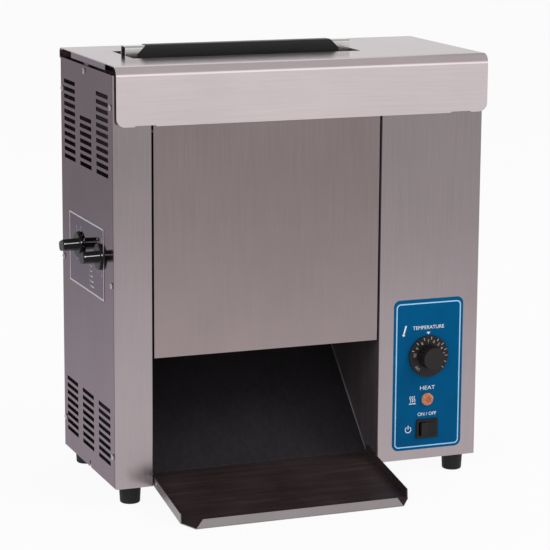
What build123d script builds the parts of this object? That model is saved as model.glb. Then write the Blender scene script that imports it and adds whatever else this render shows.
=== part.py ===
from build123d import *
from math import acos, atan2, ceil, cos, degrees, pi, radians, sin, sqrt, tan
import os

# Vertical contact toaster: a steel cabinet with a standing heated platen between two wire
# belts. Bun halves drop in at the top, ride down the platen and slide out to a landing tray.
# Lengths are in millimetres. X runs across the cabinet from its middle, Y runs back from
# the front face and Z runs up from the table.

# Cabinet
cabinet_width = 540.0
cabinet_depth = 250.0
hood_top_height = 603.0
foot_height = 24.8
sheet = 1.2
bend = 2.0
seat_gap = 0.3
lap_gap = 0.2
overrun = 5.0

# Toasting bay, its cover and the two fixed front panels
stile_width = 53.4
bay_width = 333.6
wall_flange_depth = 14.0
joggle_start = 3.4
joggle_length = 1.8
joggle_flange_depth = 20.0
panel_bottom_flange = 10.0
cover_front_inset = 5.6
cover_rear_flange = 14.0
rear_panel_flange = 16.0
bracket_tab_width = 20.0
bracket_tab_height = 16.0
hood_gap = 13.0
notch_width = 6.0
notch_height = 9.0
notch_place_y = 121.0

# Louvre slots of the side covers
slot_length = 54.0
slot_height = 6.0
slot_pitch = 10.6
slot_column_spacing = 77.0
slot_column_middle_y = 128.0
upper_slot_drop = 41.5
lower_slot_top_height = 132.0
upper_slot_rows = 11
lower_slot_rows = 8
middle_slot_rows = 7

# Screws of the side covers
screw_head_radius = 4.2
screw_head_height = 1.9
screw_shank_radius = 2.0
screw_length = 7.0
screw_clearance = 0.15
screw_front_y = 12.5
screw_rear_inset = 10.0
screw_top_y = 132.0
screw_top_drop = 7.6
screw_lower_height = 68.0
screw_middle_height = 306.0
screw_upper_drop = 56.5

# Feet
foot_top_radius = 15.2
foot_bottom_radius = 13.8
foot_edge_radius = 2.5
foot_side_inset = 26.0
foot_end_inset = 20.0
foot_bore_radius = 5.0
foot_bore_depth = 16.0
foot_bolt_radius = 3.0

# Base pan
pan_flange_height = 18.0
pan_corner_radius = 4.0
pan_notch_depth = 14.0
vent_hole_radius = 4.0
vent_hole_pitch = 16.0
vent_hole_columns = 6
vent_hole_rows = 3

# Hood
hood_front_overhang = 14.8
hood_rear_overhang = 3.0
hood_lip_height = 80.0
hood_rear_lip_height = 15.0
hood_bend_radius = 13.0
hood_rear_bend_radius = 6.0
hood_corner_radius = 12.0
opening_front_y = 78.0
opening_rear_y = 176.0
opening_flange_depth = 7.0
lip_relief_width = 29.5
lip_relief_height = 1.5
lip_relief_inset = 25.5
bracket_front_y = 45.0
bracket_rear_y = 205.0
bracket_drop = 11.0
bracket_flange_depth = 6.0
bracket_side_inset = 3.5

# Front cover of the bay
door_gap = 2.0
door_bottom_height = 204.5
door_top_lap = 6.0
door_flange_depth = 12.0
pivot_place_y = 7.0
pivot_drop = 15.0
pivot_radius = 2.5
pivot_head_radius = 4.5
pivot_head_length = 2.0
running_gap = 0.05

# Landing tray and chute
tray_reach = 130.0
tray_rear_y = 36.0
tray_side_gap = 1.2
tray_sheet = 1.2
tray_flange_height = 13.0
tray_front_gap = 0.3
tray_corner_length = 20.0
tray_corner_width = 15.0
tray_mitre = 10.0
chute_run_y = 212.0
chute_slope_degrees = 43.8
chute_top_flange = 28.0
chute_lap = 0.6
chute_side_gap = 0.6

# Platen, its cap and the release sheet
platen_y = 126.0
platen_thickness = 20.0
platen_side_gap = 14.0
platen_bottom_height = 252.0
platen_top_drop = 15.0
platen_pocket_depth = 3.0
platen_tab_height = 12.0
platen_tab_thickness = 8.0
platen_tab_proud = 3.0
platen_tab_rise = 54.0
platen_tab_drop = 88.0
cap_sheet = 1.5
cap_skirt = 16.0
ridge_height = 13.0
cap_bend = 3.0
cap_end_gap = 0.6
release_thickness = 0.4
release_width = 298.0
release_corner = 12.5
release_bottom_height = 258.0
heater_radius = 4.0
heater_legs = 4
heater_inset = 30.0
heater_top_inset = 128.0
heater_lead = 26.0
heater_gap = 0.05

# Conveyors
conveyor_offset = 68.0
drive_drop = 43.0
idler_height = 262.0
roller_radius = 17.0
roller_groove_depth = 1.5
roller_groove_width = 8.0
roller_groove_count = 4
shaft_radius = 6.0
shaft_flat_depth = 1.0
belt_gap = 0.75
wire_thickness = 1.5
wire_width = 2.0
wire_pitch = 17.0
wire_hook = 7.0
wire_hook_gap = 0.4
belt_side_gap = 18.8
roller_end_gap = 1.0
frame_plate_gap = 6.0
frame_plate = 2.0
frame_plate_width = 29.0
frame_hub_radius = 9.5
frame_hub_length = 3.0
frame_end_height = 14.0
tie_rod_radius = 4.0
tie_rod_count = 3
slider_gap = 0.5
slider_flange = 10.0
slider_end_gap = 26.0
tilt_degrees = 3.5
bush_radius = 9.0
bush_flange_radius = 13.0
bush_flange = 2.0
bush_length = 8.0

# Compression knobs, shafts and cams
knob_height = 336.5
front_knob_y = 64.0
rear_knob_y = 162.0
knob_turn_degrees = 240.0
knob_rest_degrees = 18.0
knob_shaft_radius = 5.0
knob_shaft_boss_radius = 8.0
knob_shaft_boss_length = 8.0
knob_skirt_radius = 18.0
knob_skirt = 4.0
knob_bar_height = 22.0
knob_bar_width = 14.5
knob_bar_length = 33.0
knob_bar_top_length = 24.0
knob_bar_corner_radius = 5.5
knob_edge_radius = 1.6
knob_gap = 0.5
cam_base_radius = 9.0
cam_thickness = 8.0
cam_start_degrees = 30.0
cam_end_degrees = 12.0
cam_steps = 18
cam_wall_gap = 14.0
follower_radius = 3.0
follower_gap = 0.55
follower_lug_height = 16.0
slot_play = 1.0
knob_plate_front_y = 47.0
knob_plate_rear_y = 210.0
knob_plate_bottom_height = 277.5
knob_plate_top_height = 377.0
overlay_thickness = 0.5

# Gears and gearmotor
gear_teeth = 18
gear_width = 10.0
gear_wall_gap = 5.0
gear_backlash = 0.2
gear_pressure_degrees = 20.0
gear_addendum_share = 1.0
gear_dedendum_share = 1.25
gear_web_radius_share = 0.72
gear_web_recess = 2.5
idler_stud_radius = 5.0
gearbox_gap = 3.0
gearbox_thickness = 34.0
gearbox_width = 58.0
gearbox_tall = 118.0
gearbox_corner_radius = 6.0
pillar_radius = 4.0
pillar_inset = 9.0
pillar_upper_drop = 34.0
motor_radius = 29.0
motor_length = 58.0
motor_rise = 32.0
motor_band = 3.0
motor_end_radius = 10.0

# Controls
control_height = 175.0
overlay_width = 107.2
overlay_bottom_height = 39.0
overlay_top_height = 258.0
overlay_corner_radius = 9.5
dial_radius = 30.0
dial_skirt = 3.0
dial_hub_radius = 17.0
dial_hub_height = 18.0
dial_flutes = 18
dial_flute_radius = 1.8
dial_draft_degrees = 4.0
dial_gap = 0.8
dial_turn_degrees = 280.0
stem_radius = 3.0
stem_length = 14.0
thermostat_width = 46.0
thermostat_tall = 40.0
thermostat_deep = 32.0
lamp_height = 111.8
lamp_radius = 8.9
lamp_body_radius = 7.5
lamp_body_length = 24.0
lamp_dome_height = 4.5
lamp_rim = 1.6
rocker_height = 69.0
bezel_width = 34.0
bezel_tall = 28.0
bezel_thickness = 2.0
bezel_corner_radius = 1.5
switch_body_width = 29.0
switch_body_tall = 22.0
switch_body_deep = 24.0
rocker_width = 23.0
rocker_tall = 19.0
rocker_well = 14.0
rocker_gap = 1.7
rocker_side_gap = 0.4
rocker_tilt_degrees = 7.0
rocker_pivot_depth = 4.0
rocker_pin_radius = 1.5
rocker_proud = 2.4

# Fan, terminal block and cord gland on the rear panel
fan_size = 92.0
fan_depth = 25.0
fan_height = 140.0
fan_duct_radius = 43.5
fan_hub_radius = 17.0
fan_blades = 7
fan_blade_gap = 1.5
fan_blade_thickness = 1.6
fan_blade_twist_degrees = 38.0
fan_strut = 4.0
fan_pin_radius = 2.0
fan_rotor_inset = 4.0
grille_slot_height = 4.0
grille_slot_pitch = 9.0
grille_margin = 4.0
terminal_length = 62.0
terminal_width = 22.0
terminal_tall = 18.0
terminal_ways = 5
terminal_screw_radius = 3.4
terminal_x = 200.0
terminal_y = 190.0
gland_height = 62.0
gland_side_inset = 46.0
gland_thread_radius = 8.0
gland_nut_radius = 12.0
gland_nut = 5.0
gland_cone = 9.0
gland_bore_radius = 4.5

# Places that follow from the sizes above
half_width = cabinet_width / 2
cabinet_bottom = foot_height
cover_top = hood_top_height - hood_gap
drive_height = hood_top_height - drive_drop
platen_top_height = hood_top_height - platen_top_drop
door_top_height = hood_top_height - hood_lip_height + door_top_lap
upper_slot_top_height = hood_top_height - upper_slot_drop
screw_upper_height = hood_top_height - screw_upper_drop
bay_left = stile_width - half_width
bay_right = bay_left + bay_width
bay_middle = (bay_left + bay_right) / 2
left_wall_outer = bay_left - 2 * sheet
right_wall_outer = bay_right + 2 * sheet
control_x = (bay_right + half_width) / 2
pan_top = cabinet_bottom + sheet
rear_panel_y = cabinet_depth - 2 * sheet - lap_gap
front_axis_y = platen_y - conveyor_offset
rear_axis_y = platen_y + conveyor_offset
belt_radius = roller_radius + belt_gap
belt_outer_radius = belt_radius + wire_thickness
pivot_height = door_top_height - pivot_drop
ridge_top = hood_top_height + ridge_height
release_gap = lap_gap
gear_spacing = 2 * conveyor_offset / 3
gear_pitch_radius = gear_spacing / 2
gear_module = gear_spacing / gear_teeth
gear_start_x = right_wall_outer + gear_wall_gap
gearbox_start_x = gear_start_x + gear_width + gearbox_gap
gearbox_top_height = cover_top - 2 * sheet
gearbox_bottom_height = gearbox_top_height - gearbox_tall
motor_height = gearbox_bottom_height + motor_rise
platen_height = platen_top_height - platen_bottom_height
heater_leg_spacing = (platen_height - heater_inset - heater_top_inset) / (heater_legs - 1)
belt_width = bay_width - 2 * belt_side_gap
frame_half = belt_width / 2 + frame_plate_gap
cam_lift = (drive_height - knob_height) * sin(radians(tilt_degrees))
cam_start_x = left_wall_outer - cam_wall_gap
follower_reach = cam_base_radius + follower_radius + follower_gap

# The tray and the knobs reach past the cabinet, so its middle isn't the middle of the part
left_reach = half_width + overlay_thickness + knob_gap + knob_skirt + knob_bar_height
right_reach = half_width + screw_head_height
rear_reach = rear_panel_y + sheet + gland_nut + gland_cone
row_shift_x = (left_reach - right_reach) / 2
row_shift_y = (tray_reach - rear_reach) / 2


def block(x_low, x_high, y_low, y_high, z_low, z_high):
    middle = Pos((x_low + x_high) / 2, (y_low + y_high) / 2, (z_low + z_high) / 2)
    return middle * Box(x_high - x_low, y_high - y_low, z_high - z_low)


def rod_x(radius, x_low, x_high, y, z):
    return Pos((x_low + x_high) / 2, y, z) * Rot(0, 90, 0) * Cylinder(radius, x_high - x_low)


def rod_y(radius, y_low, y_high, x, z):
    return Pos(x, (y_low + y_high) / 2, z) * Rot(90, 0, 0) * Cylinder(radius, y_high - y_low)


def rod_z(radius, z_low, z_high, x, y):
    return Pos(x, y, (z_low + z_high) / 2) * Cylinder(radius, z_high - z_low)


def bent_sheet(points, thickness, radius, plane, length):
    """A sheet folded along a path in a plane and drawn out square to it."""
    path = FilletPolyline(*points, radius=radius)
    return extrude(plane * trace(path, line_width=thickness), amount=length)


def plate(points, plane, thickness):
    """A flat plate with the given outline in a plane."""
    return extrude(plane * make_face(Polyline(*points, close=True)), amount=thickness)


def mirrored(shape):
    return mirror(shape, about=Plane.YZ)


def cover_screw_places():
    """The seven screws of a side cover, as depth and height."""
    rear_y = cabinet_depth - screw_rear_inset
    heights = (screw_lower_height, screw_middle_height, screw_upper_height)
    edges = [(y, z) for y in (screw_front_y, rear_y) for z in heights]
    return edges + [(screw_top_y, cover_top - screw_top_drop)]


def cover_screw_holes():
    radius = screw_shank_radius + screw_clearance
    inner = half_width - screw_length - overrun
    return [rod_x(radius, -half_width - overrun, -inner, y, z) for y, z in cover_screw_places()]


def cover_screws():
    screws = []
    for y, z in cover_screw_places():
        head = rod_x(screw_head_radius, -half_width - screw_head_height, -half_width, y, z)
        head = fillet(head.edges().group_by(Axis.X)[0], screw_head_height / 2)
        shank = rod_x(screw_shank_radius, -half_width, screw_length - half_width, y, z)
        screws.append(head + shank)
    return screws


def left_panel_path(inner_x):
    """The folded plan of a front panel with a joggled flange behind the side cover."""
    middle = sheet / 2
    outer = -half_width + middle
    lapped = outer + sheet + lap_gap
    joggle_end = joggle_start + joggle_length
    return [(inner_x, middle + wall_flange_depth), (inner_x, middle), (outer, middle),
            (outer, joggle_start), (lapped, joggle_end),
            (lapped, joggle_end + joggle_flange_depth)]


def front_panel(inner_x):
    """One fixed front panel on the left, whose inner flange stands at the given place."""
    base = Plane.XY.offset(cabinet_bottom)
    panel = bent_sheet(left_panel_path(inner_x), sheet, sheet, base, cover_top - cabinet_bottom)
    low_x = -half_width + 2 * bend
    high_x = inner_x - sheet
    foot_plate = block(low_x, high_x, sheet / 2, panel_bottom_flange,
                       cabinet_bottom, cabinet_bottom + sheet)
    return panel + foot_plate - cover_screw_holes()


def left_stile():
    return front_panel(bay_left - sheet / 2) - pivot_holes()


def control_panel():
    panel = mirrored(front_panel(-bay_right - sheet / 2))
    stem_hole = rod_y(2 * stem_radius, -overrun, overrun, control_x, control_height)
    lamp_hole = rod_y(lamp_body_radius + lap_gap, -overrun, overrun, control_x, lamp_height)
    half_body = switch_body_width / 2 + lap_gap
    half_tall = switch_body_tall / 2 + lap_gap
    rocker_hole = block(control_x - half_body, control_x + half_body, -overrun, overrun,
                        rocker_height - half_tall, rocker_height + half_tall)
    return panel - stem_hole - lamp_hole - rocker_hole - pivot_holes()


def slot_column(middle_y, top, rows):
    """One column of louvre slots, cut through the left side cover."""
    low_y = middle_y - slot_length / 2
    high_y = middle_y + slot_length / 2
    tops = [top - row * slot_pitch for row in range(rows)]
    return [block(-half_width - overrun, -half_width + overrun, low_y, high_y,
                  height - slot_height, height) for height in tops]


def cover_slots():
    """The upper and lower fields of slots; the upper middle column starts lower."""
    front = slot_column_middle_y - slot_column_spacing
    rear = slot_column_middle_y + slot_column_spacing
    low_start = upper_slot_top_height - (upper_slot_rows - middle_slot_rows) * slot_pitch
    slots = slot_column(slot_column_middle_y, low_start, middle_slot_rows)
    for column in (front, rear):
        slots += slot_column(column, upper_slot_top_height, upper_slot_rows)
    for column in (front, slot_column_middle_y, rear):
        slots += slot_column(column, lower_slot_top_height, lower_slot_rows)
    return slots


def plain_side_cover():
    outer = -half_width + sheet / 2
    rear = cabinet_depth - sheet / 2
    path = [(outer, cover_front_inset), (outer, rear), (outer + cover_rear_flange, rear)]
    base = Plane.XY.offset(cabinet_bottom)
    cover = bent_sheet(path, sheet, bend, base, cover_top - cabinet_bottom)
    notch = block(-half_width - overrun, -half_width + overrun,
                  notch_place_y - notch_width / 2, notch_place_y + notch_width / 2,
                  cabinet_bottom - overrun, cabinet_bottom + notch_height)
    return cover - notch - cover_slots() - cover_screw_holes()


def left_side_cover():
    holes = [rod_x(knob_shaft_radius + seat_gap, -half_width - overrun, -half_width + overrun,
                   y, knob_height) for y in (front_knob_y, rear_knob_y)]
    return plain_side_cover() - holes


def base_pan():
    half = half_width - 2 * sheet - 2 * lap_gap - seat_gap
    front = sheet + lap_gap
    rear = rear_panel_y - lap_gap
    top = cabinet_bottom + pan_flange_height
    outside = block(-half, half, front, rear, cabinet_bottom, top)
    outside = fillet(outside.edges().filter_by(Axis.Z), pan_corner_radius)
    inside = block(-half + sheet, half - sheet, front + sheet, rear - sheet, pan_top, top + overrun)
    inside = fillet(inside.edges().filter_by(Axis.Z), pan_corner_radius - sheet)
    clear = panel_bottom_flange + lap_gap
    front_cut = block(-half - overrun, half + overrun, front - overrun, clear,
                      cabinet_bottom - overrun, pan_top + sheet)
    bay_cut = block(bay_left - sheet - lap_gap, bay_right + sheet + lap_gap, -overrun,
                    pan_notch_depth, cabinet_bottom - overrun, top + overrun)
    wall_cuts = [block(x - sheet - lap_gap, x + sheet + lap_gap, -overrun,
                       wall_flange_depth + 2 * sheet, cabinet_bottom - overrun, top + overrun)
                 for x in (bay_left - sheet, bay_right + sheet)]
    wall_cuts += [block(x - sheet - lap_gap, x + sheet + lap_gap, rear - 2 * sheet,
                        rear + overrun, pan_top, top + overrun)
                  for x in (bay_left - sheet, bay_right + sheet)]
    bolts = [rod_z(foot_bolt_radius + lap_gap, 0, top, x, y) for x, y in foot_places()]
    return outside - inside - front_cut - bay_cut - wall_cuts - bolts - pan_vents()


def pan_vents():
    """Air holes in the pan below the fan."""
    columns = [(i + 0.5 - vent_hole_columns / 2) * vent_hole_pitch
               for i in range(vent_hole_columns)]
    rows = [(j + 0.5 - vent_hole_rows / 2) * vent_hole_pitch for j in range(vent_hole_rows)]
    return [rod_z(vent_hole_radius, cabinet_bottom - overrun, pan_top + overrun,
                  control_x + column, platen_y + row) for column in columns for row in rows]


def foot_places():
    x = half_width - foot_side_inset
    return [(-x, foot_end_inset), (x, foot_end_inset),
            (-x, cabinet_depth - foot_end_inset), (x, cabinet_depth - foot_end_inset)]


def foot(x, y):
    """A tapered rubber foot on its bolt, with a counterbore in its sole."""
    body = Pos(x, y, foot_height / 2) * Cone(foot_bottom_radius, foot_top_radius, foot_height)
    body = fillet(body.edges().group_by(Axis.Z)[0], foot_edge_radius)
    body -= rod_z(foot_bore_radius, -overrun, foot_bore_depth, x, y)
    bolt = rod_z(foot_bolt_radius, foot_bore_depth - foot_bolt_radius, pan_top + foot_bolt_radius,
                 x, y)
    return body + bolt


def bay_wall_blank(inner_x, side):
    """A bay side wall that laps outside the front panel's flange."""
    near = inner_x + side * sheet
    far = near + side * sheet
    front = joggle_start
    rear = rear_panel_y - lap_gap
    wall = block(min(near, far), max(near, far), front, rear, pan_top + lap_gap, cover_top)
    bushes = [rod_x(bush_radius + lap_gap / 4, inner_x - overrun - sheet, inner_x + overrun + sheet,
                    y, drive_height) for y in (front_axis_y, rear_axis_y)]
    return wall - bushes - pivot_holes() - platen_tabs(lap_gap)


def bay_left_wall():
    """Left wall with the knob shaft bosses and the slots of the follower pins."""
    wall = bay_wall_blank(bay_left, -1)
    boss_end = left_wall_outer - knob_shaft_boss_length
    for y in (front_knob_y, rear_knob_y):
        wall += rod_x(knob_shaft_boss_radius, boss_end, left_wall_outer, y, knob_height)
        wall -= rod_x(knob_shaft_radius + running_gap, boss_end - overrun, left_wall_outer,
                      y, knob_height)
    half = follower_radius + slot_play
    for (pin_y, side), axis_y in zip(follower_places(), (front_axis_y, rear_axis_y)):
        end_y = pin_y + side * cam_lift
        high = knob_height + half + follower_rise(pin_y, axis_y)
        wall -= block(left_wall_outer - overrun, bay_left + overrun, min(pin_y, end_y) - half,
                      max(pin_y, end_y) + half, knob_height - half, high)
    return wall


def bay_right_wall():
    """Right wall with the stud of the idler gear and the slot of the heater leads."""
    wall = bay_wall_blank(bay_right, 1)
    stud_y = front_axis_y + 2 * gear_spacing
    wall += rod_x(idler_stud_radius, right_wall_outer - sheet / 2,
                  gear_start_x + gear_width + gearbox_gap / 2, stud_y, drive_height)
    for height in heater_heights():
        wall -= rod_x(2 * heater_radius, bay_right, right_wall_outer + overrun, platen_y, height)
    return wall


def pivot_holes():
    radius = pivot_radius + running_gap
    return rod_x(radius, left_wall_outer - overrun, right_wall_outer + overrun,
                 pivot_place_y, pivot_height)


def rear_panel():
    """Rear panel with side flanges behind the covers, the fan's grille and the cord hole."""
    half = half_width - 1.5 * sheet - lap_gap
    front = rear_panel_y
    middle = front + sheet / 2
    path = [(-half, middle - rear_panel_flange), (-half, middle), (half, middle),
            (half, middle - rear_panel_flange)]
    base = Plane.XY.offset(cabinet_bottom)
    panel = bent_sheet(path, sheet, bend, base, cover_top - cabinet_bottom)
    rows = int(fan_duct_radius / grille_slot_pitch)
    cuts = []
    for row in range(-rows, rows + 1):
        drop = row * grille_slot_pitch
        reach = sqrt(fan_duct_radius ** 2 - drop ** 2) - grille_margin
        z = fan_height + drop
        cuts.append(block(control_x - reach, control_x + reach, front - overrun, front + overrun,
                          z - grille_slot_height / 2, z + grille_slot_height / 2))
    cuts.append(rod_y(gland_thread_radius + lap_gap, front - overrun, front + overrun,
                      half_width - gland_side_inset, gland_height))
    radius = screw_shank_radius + screw_clearance
    cuts += [rod_y(radius, front - overrun, front + overrun, x, z)
             for x, z in fan_screw_places()]
    cuts += cover_screw_holes() + [mirrored(hole) for hole in cover_screw_holes()]
    return panel - cuts


def fan_screw_places():
    reach = fan_size / 2 - 2 * screw_head_radius / 2 - fan_rotor_inset / 2
    return [(control_x + i * reach, fan_height + j * reach) for i in (-1, 1) for j in (-1, 1)]


def hood_profile():
    """Side outline of the hood: front lip, top sheet and short rear lip, as one folded sheet."""
    middle = sheet / 2
    front = middle - hood_front_overhang
    rear = cabinet_depth + hood_rear_overhang - middle
    top = hood_top_height - middle
    front_arc = hood_bend_radius - middle
    rear_arc = hood_rear_bend_radius - middle
    points = [(front, hood_top_height - hood_lip_height), (front, top), (rear, top),
              (rear, hood_top_height - hood_rear_lip_height)]
    path = FilletPolyline(*points, radius=[front_arc, rear_arc])
    return trace(path, line_width=sheet)


def hood():
    """Open-ended hood with the bun opening, its turned-down edges and a round-cornered lip."""
    shell = extrude(Plane.YZ.offset(-half_width) * hood_profile(), amount=cabinet_width)
    lip_bottom = hood_top_height - hood_lip_height
    front_y = -hood_front_overhang
    corners = shell.edges().filter_by(Axis.Y).group_by(Axis.Z)[0]
    shell = fillet(corners, hood_corner_radius)
    for side in (-1, 1):
        x = side * (half_width - lip_relief_inset - lip_relief_width / 2)
        shell -= block(x - lip_relief_width / 2, x + lip_relief_width / 2, front_y - overrun,
                       front_y + overrun, lip_bottom - overrun, lip_bottom + lip_relief_height)
    top = hood_top_height
    shell -= block(bay_left, bay_right, opening_front_y, opening_rear_y,
                   top - sheet - overrun, top + overrun)
    skirt_bottom = top - sheet - opening_flange_depth
    for edge_y in (opening_front_y - sheet, opening_rear_y):
        shell += block(bay_left, bay_right, edge_y, edge_y + sheet, skirt_bottom, top - sheet / 2)
    return shell


def hood_bracket(wall_x, side):
    """A folded shelf from a bay wall to the side, whose upright flange carries the hood."""
    middle = sheet / 2
    shelf = hood_top_height - bracket_drop
    near = wall_x + side * (middle + lap_gap)
    far = side * (half_width - bracket_side_inset)
    top = hood_top_height - sheet - seat_gap
    points = [(near, shelf - bracket_flange_depth), (near, shelf), (far, shelf), (far, top)]
    plane = Plane(origin=(0, bracket_rear_y, 0), x_dir=(1, 0, 0), z_dir=(0, -1, 0))
    bracket = bent_sheet(points, sheet, sheet, plane, bracket_rear_y - bracket_front_y)
    tab_half = bracket_tab_width / 2
    bracket += block(min(far - middle, far + middle), max(far - middle, far + middle),
                     screw_top_y - tab_half, screw_top_y + tab_half,
                     shelf - bracket_tab_height, shelf)
    holes = cover_screw_holes() + [mirrored(hole) for hole in cover_screw_holes()]
    return bracket - holes


def front_cover():
    """Front cover of the bay: a pan-shaped door that hangs on two pins under the hood lip."""
    left = bay_left + door_gap
    right = bay_right - door_gap
    outside = block(left, right, 0, door_flange_depth, door_bottom_height, door_top_height)
    outside = fillet(outside.edges().filter_by(Axis.Z).group_by(Axis.Y)[0], bend)
    inside = block(left + sheet, right - sheet, sheet, door_flange_depth + overrun,
                   door_bottom_height + sheet, door_top_height - sheet)
    return outside - inside - pivot_holes()


def front_cover_pins():
    """Shoulder pins of the front cover, headed inside it and screwed into the bay walls."""
    reach = door_gap + sheet + pivot_head_length
    left = rod_x(pivot_radius, left_wall_outer - pivot_head_length, bay_left + reach,
                 pivot_place_y, pivot_height)
    left += rod_x(pivot_head_radius, bay_left + reach - pivot_head_length + seat_gap,
                  bay_left + reach + seat_gap, pivot_place_y, pivot_height)
    right = rod_x(pivot_radius, bay_right - reach, right_wall_outer + pivot_head_length,
                  pivot_place_y, pivot_height)
    right += rod_x(pivot_head_radius, bay_right - reach - seat_gap,
                   bay_right - reach + pivot_head_length - seat_gap, pivot_place_y, pivot_height)
    return [left, right]


def tray_slope():
    """Slope of the tray, from the table edge up to the pan's front edge."""
    rise = pan_top + seat_gap - tray_front_gap
    return atan2(rise, tray_reach + pan_notch_depth)


def landing_tray():
    """Sheet tray with side flanges, a mitred front lip and cut front corners."""
    slope = tray_slope()
    low = bay_left + tray_side_gap
    high = bay_right - tray_side_gap
    length = (tray_reach + tray_rear_y) / cos(slope)
    corner = tray_corner_length
    outline = [(low, length), (low, corner), (low + tray_corner_width, 0),
               (high - tray_corner_width, 0), (high, corner), (high, length)]
    floor = plate(outline, Plane.XY, tray_sheet)
    tray = floor
    slant = tray_corner_width / 2
    for x in (low, high - tray_sheet):
        side = [(corner, 0), (length, 0), (length, tray_flange_height),
                (corner + slant / 2, tray_flange_height)]
        tray += plate(side, Plane.YZ.offset(x), tray_sheet)
    lip_low = low + tray_corner_width
    lip_high = high - tray_corner_width
    lip = [(lip_low, 0), (lip_high, 0), (lip_high - tray_mitre, tray_flange_height),
           (lip_low + tray_mitre, tray_flange_height)]
    tray += Rot(-degrees(slope), 0, 0) * plate(lip, Plane.XZ.offset(-tray_sheet), tray_sheet)
    edge_height = tray_front_gap + (tray_reach + tray_rear_y) * tan(slope) - pan_top - seat_gap
    tray += block(low, high, length - tray_sheet, length, -edge_height, 0)
    return Pos(0, -tray_reach, tray_front_gap) * Rot(degrees(slope), 0, 0) * tray


def chute_start_height():
    """Top face of the chute's lower end, just above the tray's floor."""
    rise = (tray_reach + tray_rear_y) * tan(tray_slope())
    return tray_front_gap + rise + tray_sheet + chute_lap


def chute():
    """Black slide from below the platen to the tray, with a foot and an upright rear flange."""
    start_y = tray_rear_y + chute_lap + sheet
    start_z = chute_start_height()
    rise = (chute_run_y - start_y) * tan(radians(chute_slope_degrees))
    end_z = start_z + rise
    points = [(start_y, pan_top + seat_gap), (start_y, start_z), (chute_run_y, end_z),
              (chute_run_y, end_z + chute_top_flange)]
    low = bay_left - sheet + chute_side_gap
    high = bay_right + sheet - chute_side_gap
    return bent_sheet(points, sheet, bend, Plane.YZ.offset(low), high - low)


def heater_heights():
    """Heights of the heater leads at the right end of the platen."""
    low = platen_bottom_height + heater_inset
    return [low + index * heater_leg_spacing for index in range(heater_legs)]


def heater(low_height, radius):
    """One hairpin heater of the platen, with both leads at the right."""
    right = bay_right + heater_lead
    left = bay_left + platen_side_gap + heater_inset
    high_height = low_height + heater_leg_spacing
    turn = heater_leg_spacing / 2
    points = [(right, low_height), (left, low_height), (left, high_height), (right, high_height)]
    path = FilletPolyline(*points, radius=turn - lap_gap)
    profile = Plane(origin=(right, platen_y, low_height), z_dir=(-1, 0, 0)) * Circle(radius)
    plane = Plane(origin=(0, platen_y, 0), x_dir=(1, 0, 0), z_dir=(0, -1, 0))
    return sweep(profile, path=plane * path)


def heating_elements():
    return [heater(low, heater_radius) for low in heater_heights()[::2]]


def platen_tabs(spare):
    """Two bars across the platen, whose ends hang it in slots of the bay walls."""
    half = platen_tab_thickness / 2 + spare
    reach = platen_tab_proud + spare
    return [block(left_wall_outer - reach, right_wall_outer + reach, platen_y - half,
                  platen_y + half, z - spare, z + platen_tab_height + spare)
            for z in (platen_bottom_height + platen_tab_rise,
                      platen_top_height - platen_tab_drop)]


def platen():
    """Cast platen with rebated top, bored for its heaters and carried by end tabs."""
    left = bay_left + platen_side_gap
    right = bay_right - platen_side_gap
    front = platen_y - platen_thickness / 2
    rear = platen_y + platen_thickness / 2
    body = block(left, right, front, rear, platen_bottom_height, platen_top_height)
    body = fillet(body.edges().filter_by(Axis.X).group_by(Axis.Z)[0], platen_thickness / 4)
    rebate = cap_sheet + lap_gap
    step = platen_top_height - cap_skirt - seat_gap
    for low_y, high_y in ((front - overrun, front + rebate), (rear - rebate, rear + overrun)):
        body -= block(left - overrun, right + overrun, low_y, high_y, step,
                      platen_top_height + overrun)
    for tab in platen_tabs(0):
        body += tab
    for low in heater_heights()[::2]:
        body -= heater(low, heater_radius + heater_gap)
    return body


def u_path(half_span, bottom, top):
    """An upside-down U around the platen, as depth and height."""
    return [(platen_y - half_span, bottom), (platen_y - half_span, top),
            (platen_y + half_span, top), (platen_y + half_span, bottom)]


def platen_cap():
    """Bright folded cap that stands over the platen as a ridge in the bun opening."""
    half = (platen_thickness - cap_sheet) / 2
    bottom = platen_top_height - cap_skirt
    path = u_path(half, bottom, ridge_top - cap_sheet / 2)
    low = bay_left + cap_end_gap
    return bent_sheet(path, cap_sheet, cap_bend, Plane.YZ.offset(low),
                      bay_width - 2 * cap_end_gap)


def release_sheet():
    """Non-stick sheet draped over the cap and down both faces of the platen."""
    half = platen_thickness / 2 + release_gap + release_thickness / 2
    top = ridge_top + release_gap + release_thickness / 2
    path = u_path(half, release_bottom_height, top)
    low = bay_middle - release_width / 2
    cover = bent_sheet(path, release_thickness, cap_bend + sheet, Plane.YZ.offset(low),
                       release_width)
    front = platen_y - platen_thickness
    span = 2 * platen_thickness
    high = low + release_width
    peak = top + release_thickness
    for edge, side in ((low, 1), (high, -1)):
        corner = [(edge - side * overrun, peak - release_corner - overrun),
                  (edge - side * overrun, peak + overrun),
                  (edge + side * (release_corner + overrun), peak + overrun)]
        plane = Plane(origin=(0, front + span, 0), x_dir=(1, 0, 0), z_dir=(0, -1, 0))
        cover -= plate(corner, plane, span)
    return cover


def follower_places():
    """Rest depth of the front and rear follower pins, and the way they move."""
    return [(front_knob_y + follower_reach, 1), (rear_knob_y - follower_reach, -1)]


def follower_rise(pin_y, axis_y):
    """How far a follower pin climbs as its conveyor tilts about the drive axis."""
    tilt = radians(tilt_degrees)
    return abs(pin_y - axis_y) * sin(tilt) + (drive_height - knob_height) * (1 - cos(tilt))


def drive_shaft(y):
    """Drive roller on its shaft, from the left bush to the gear beyond the right bush."""
    low = left_wall_outer - bush_length / 2
    high = gear_start_x + gear_width + gearbox_gap / 2
    return roller(y, drive_height, low, high)


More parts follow.
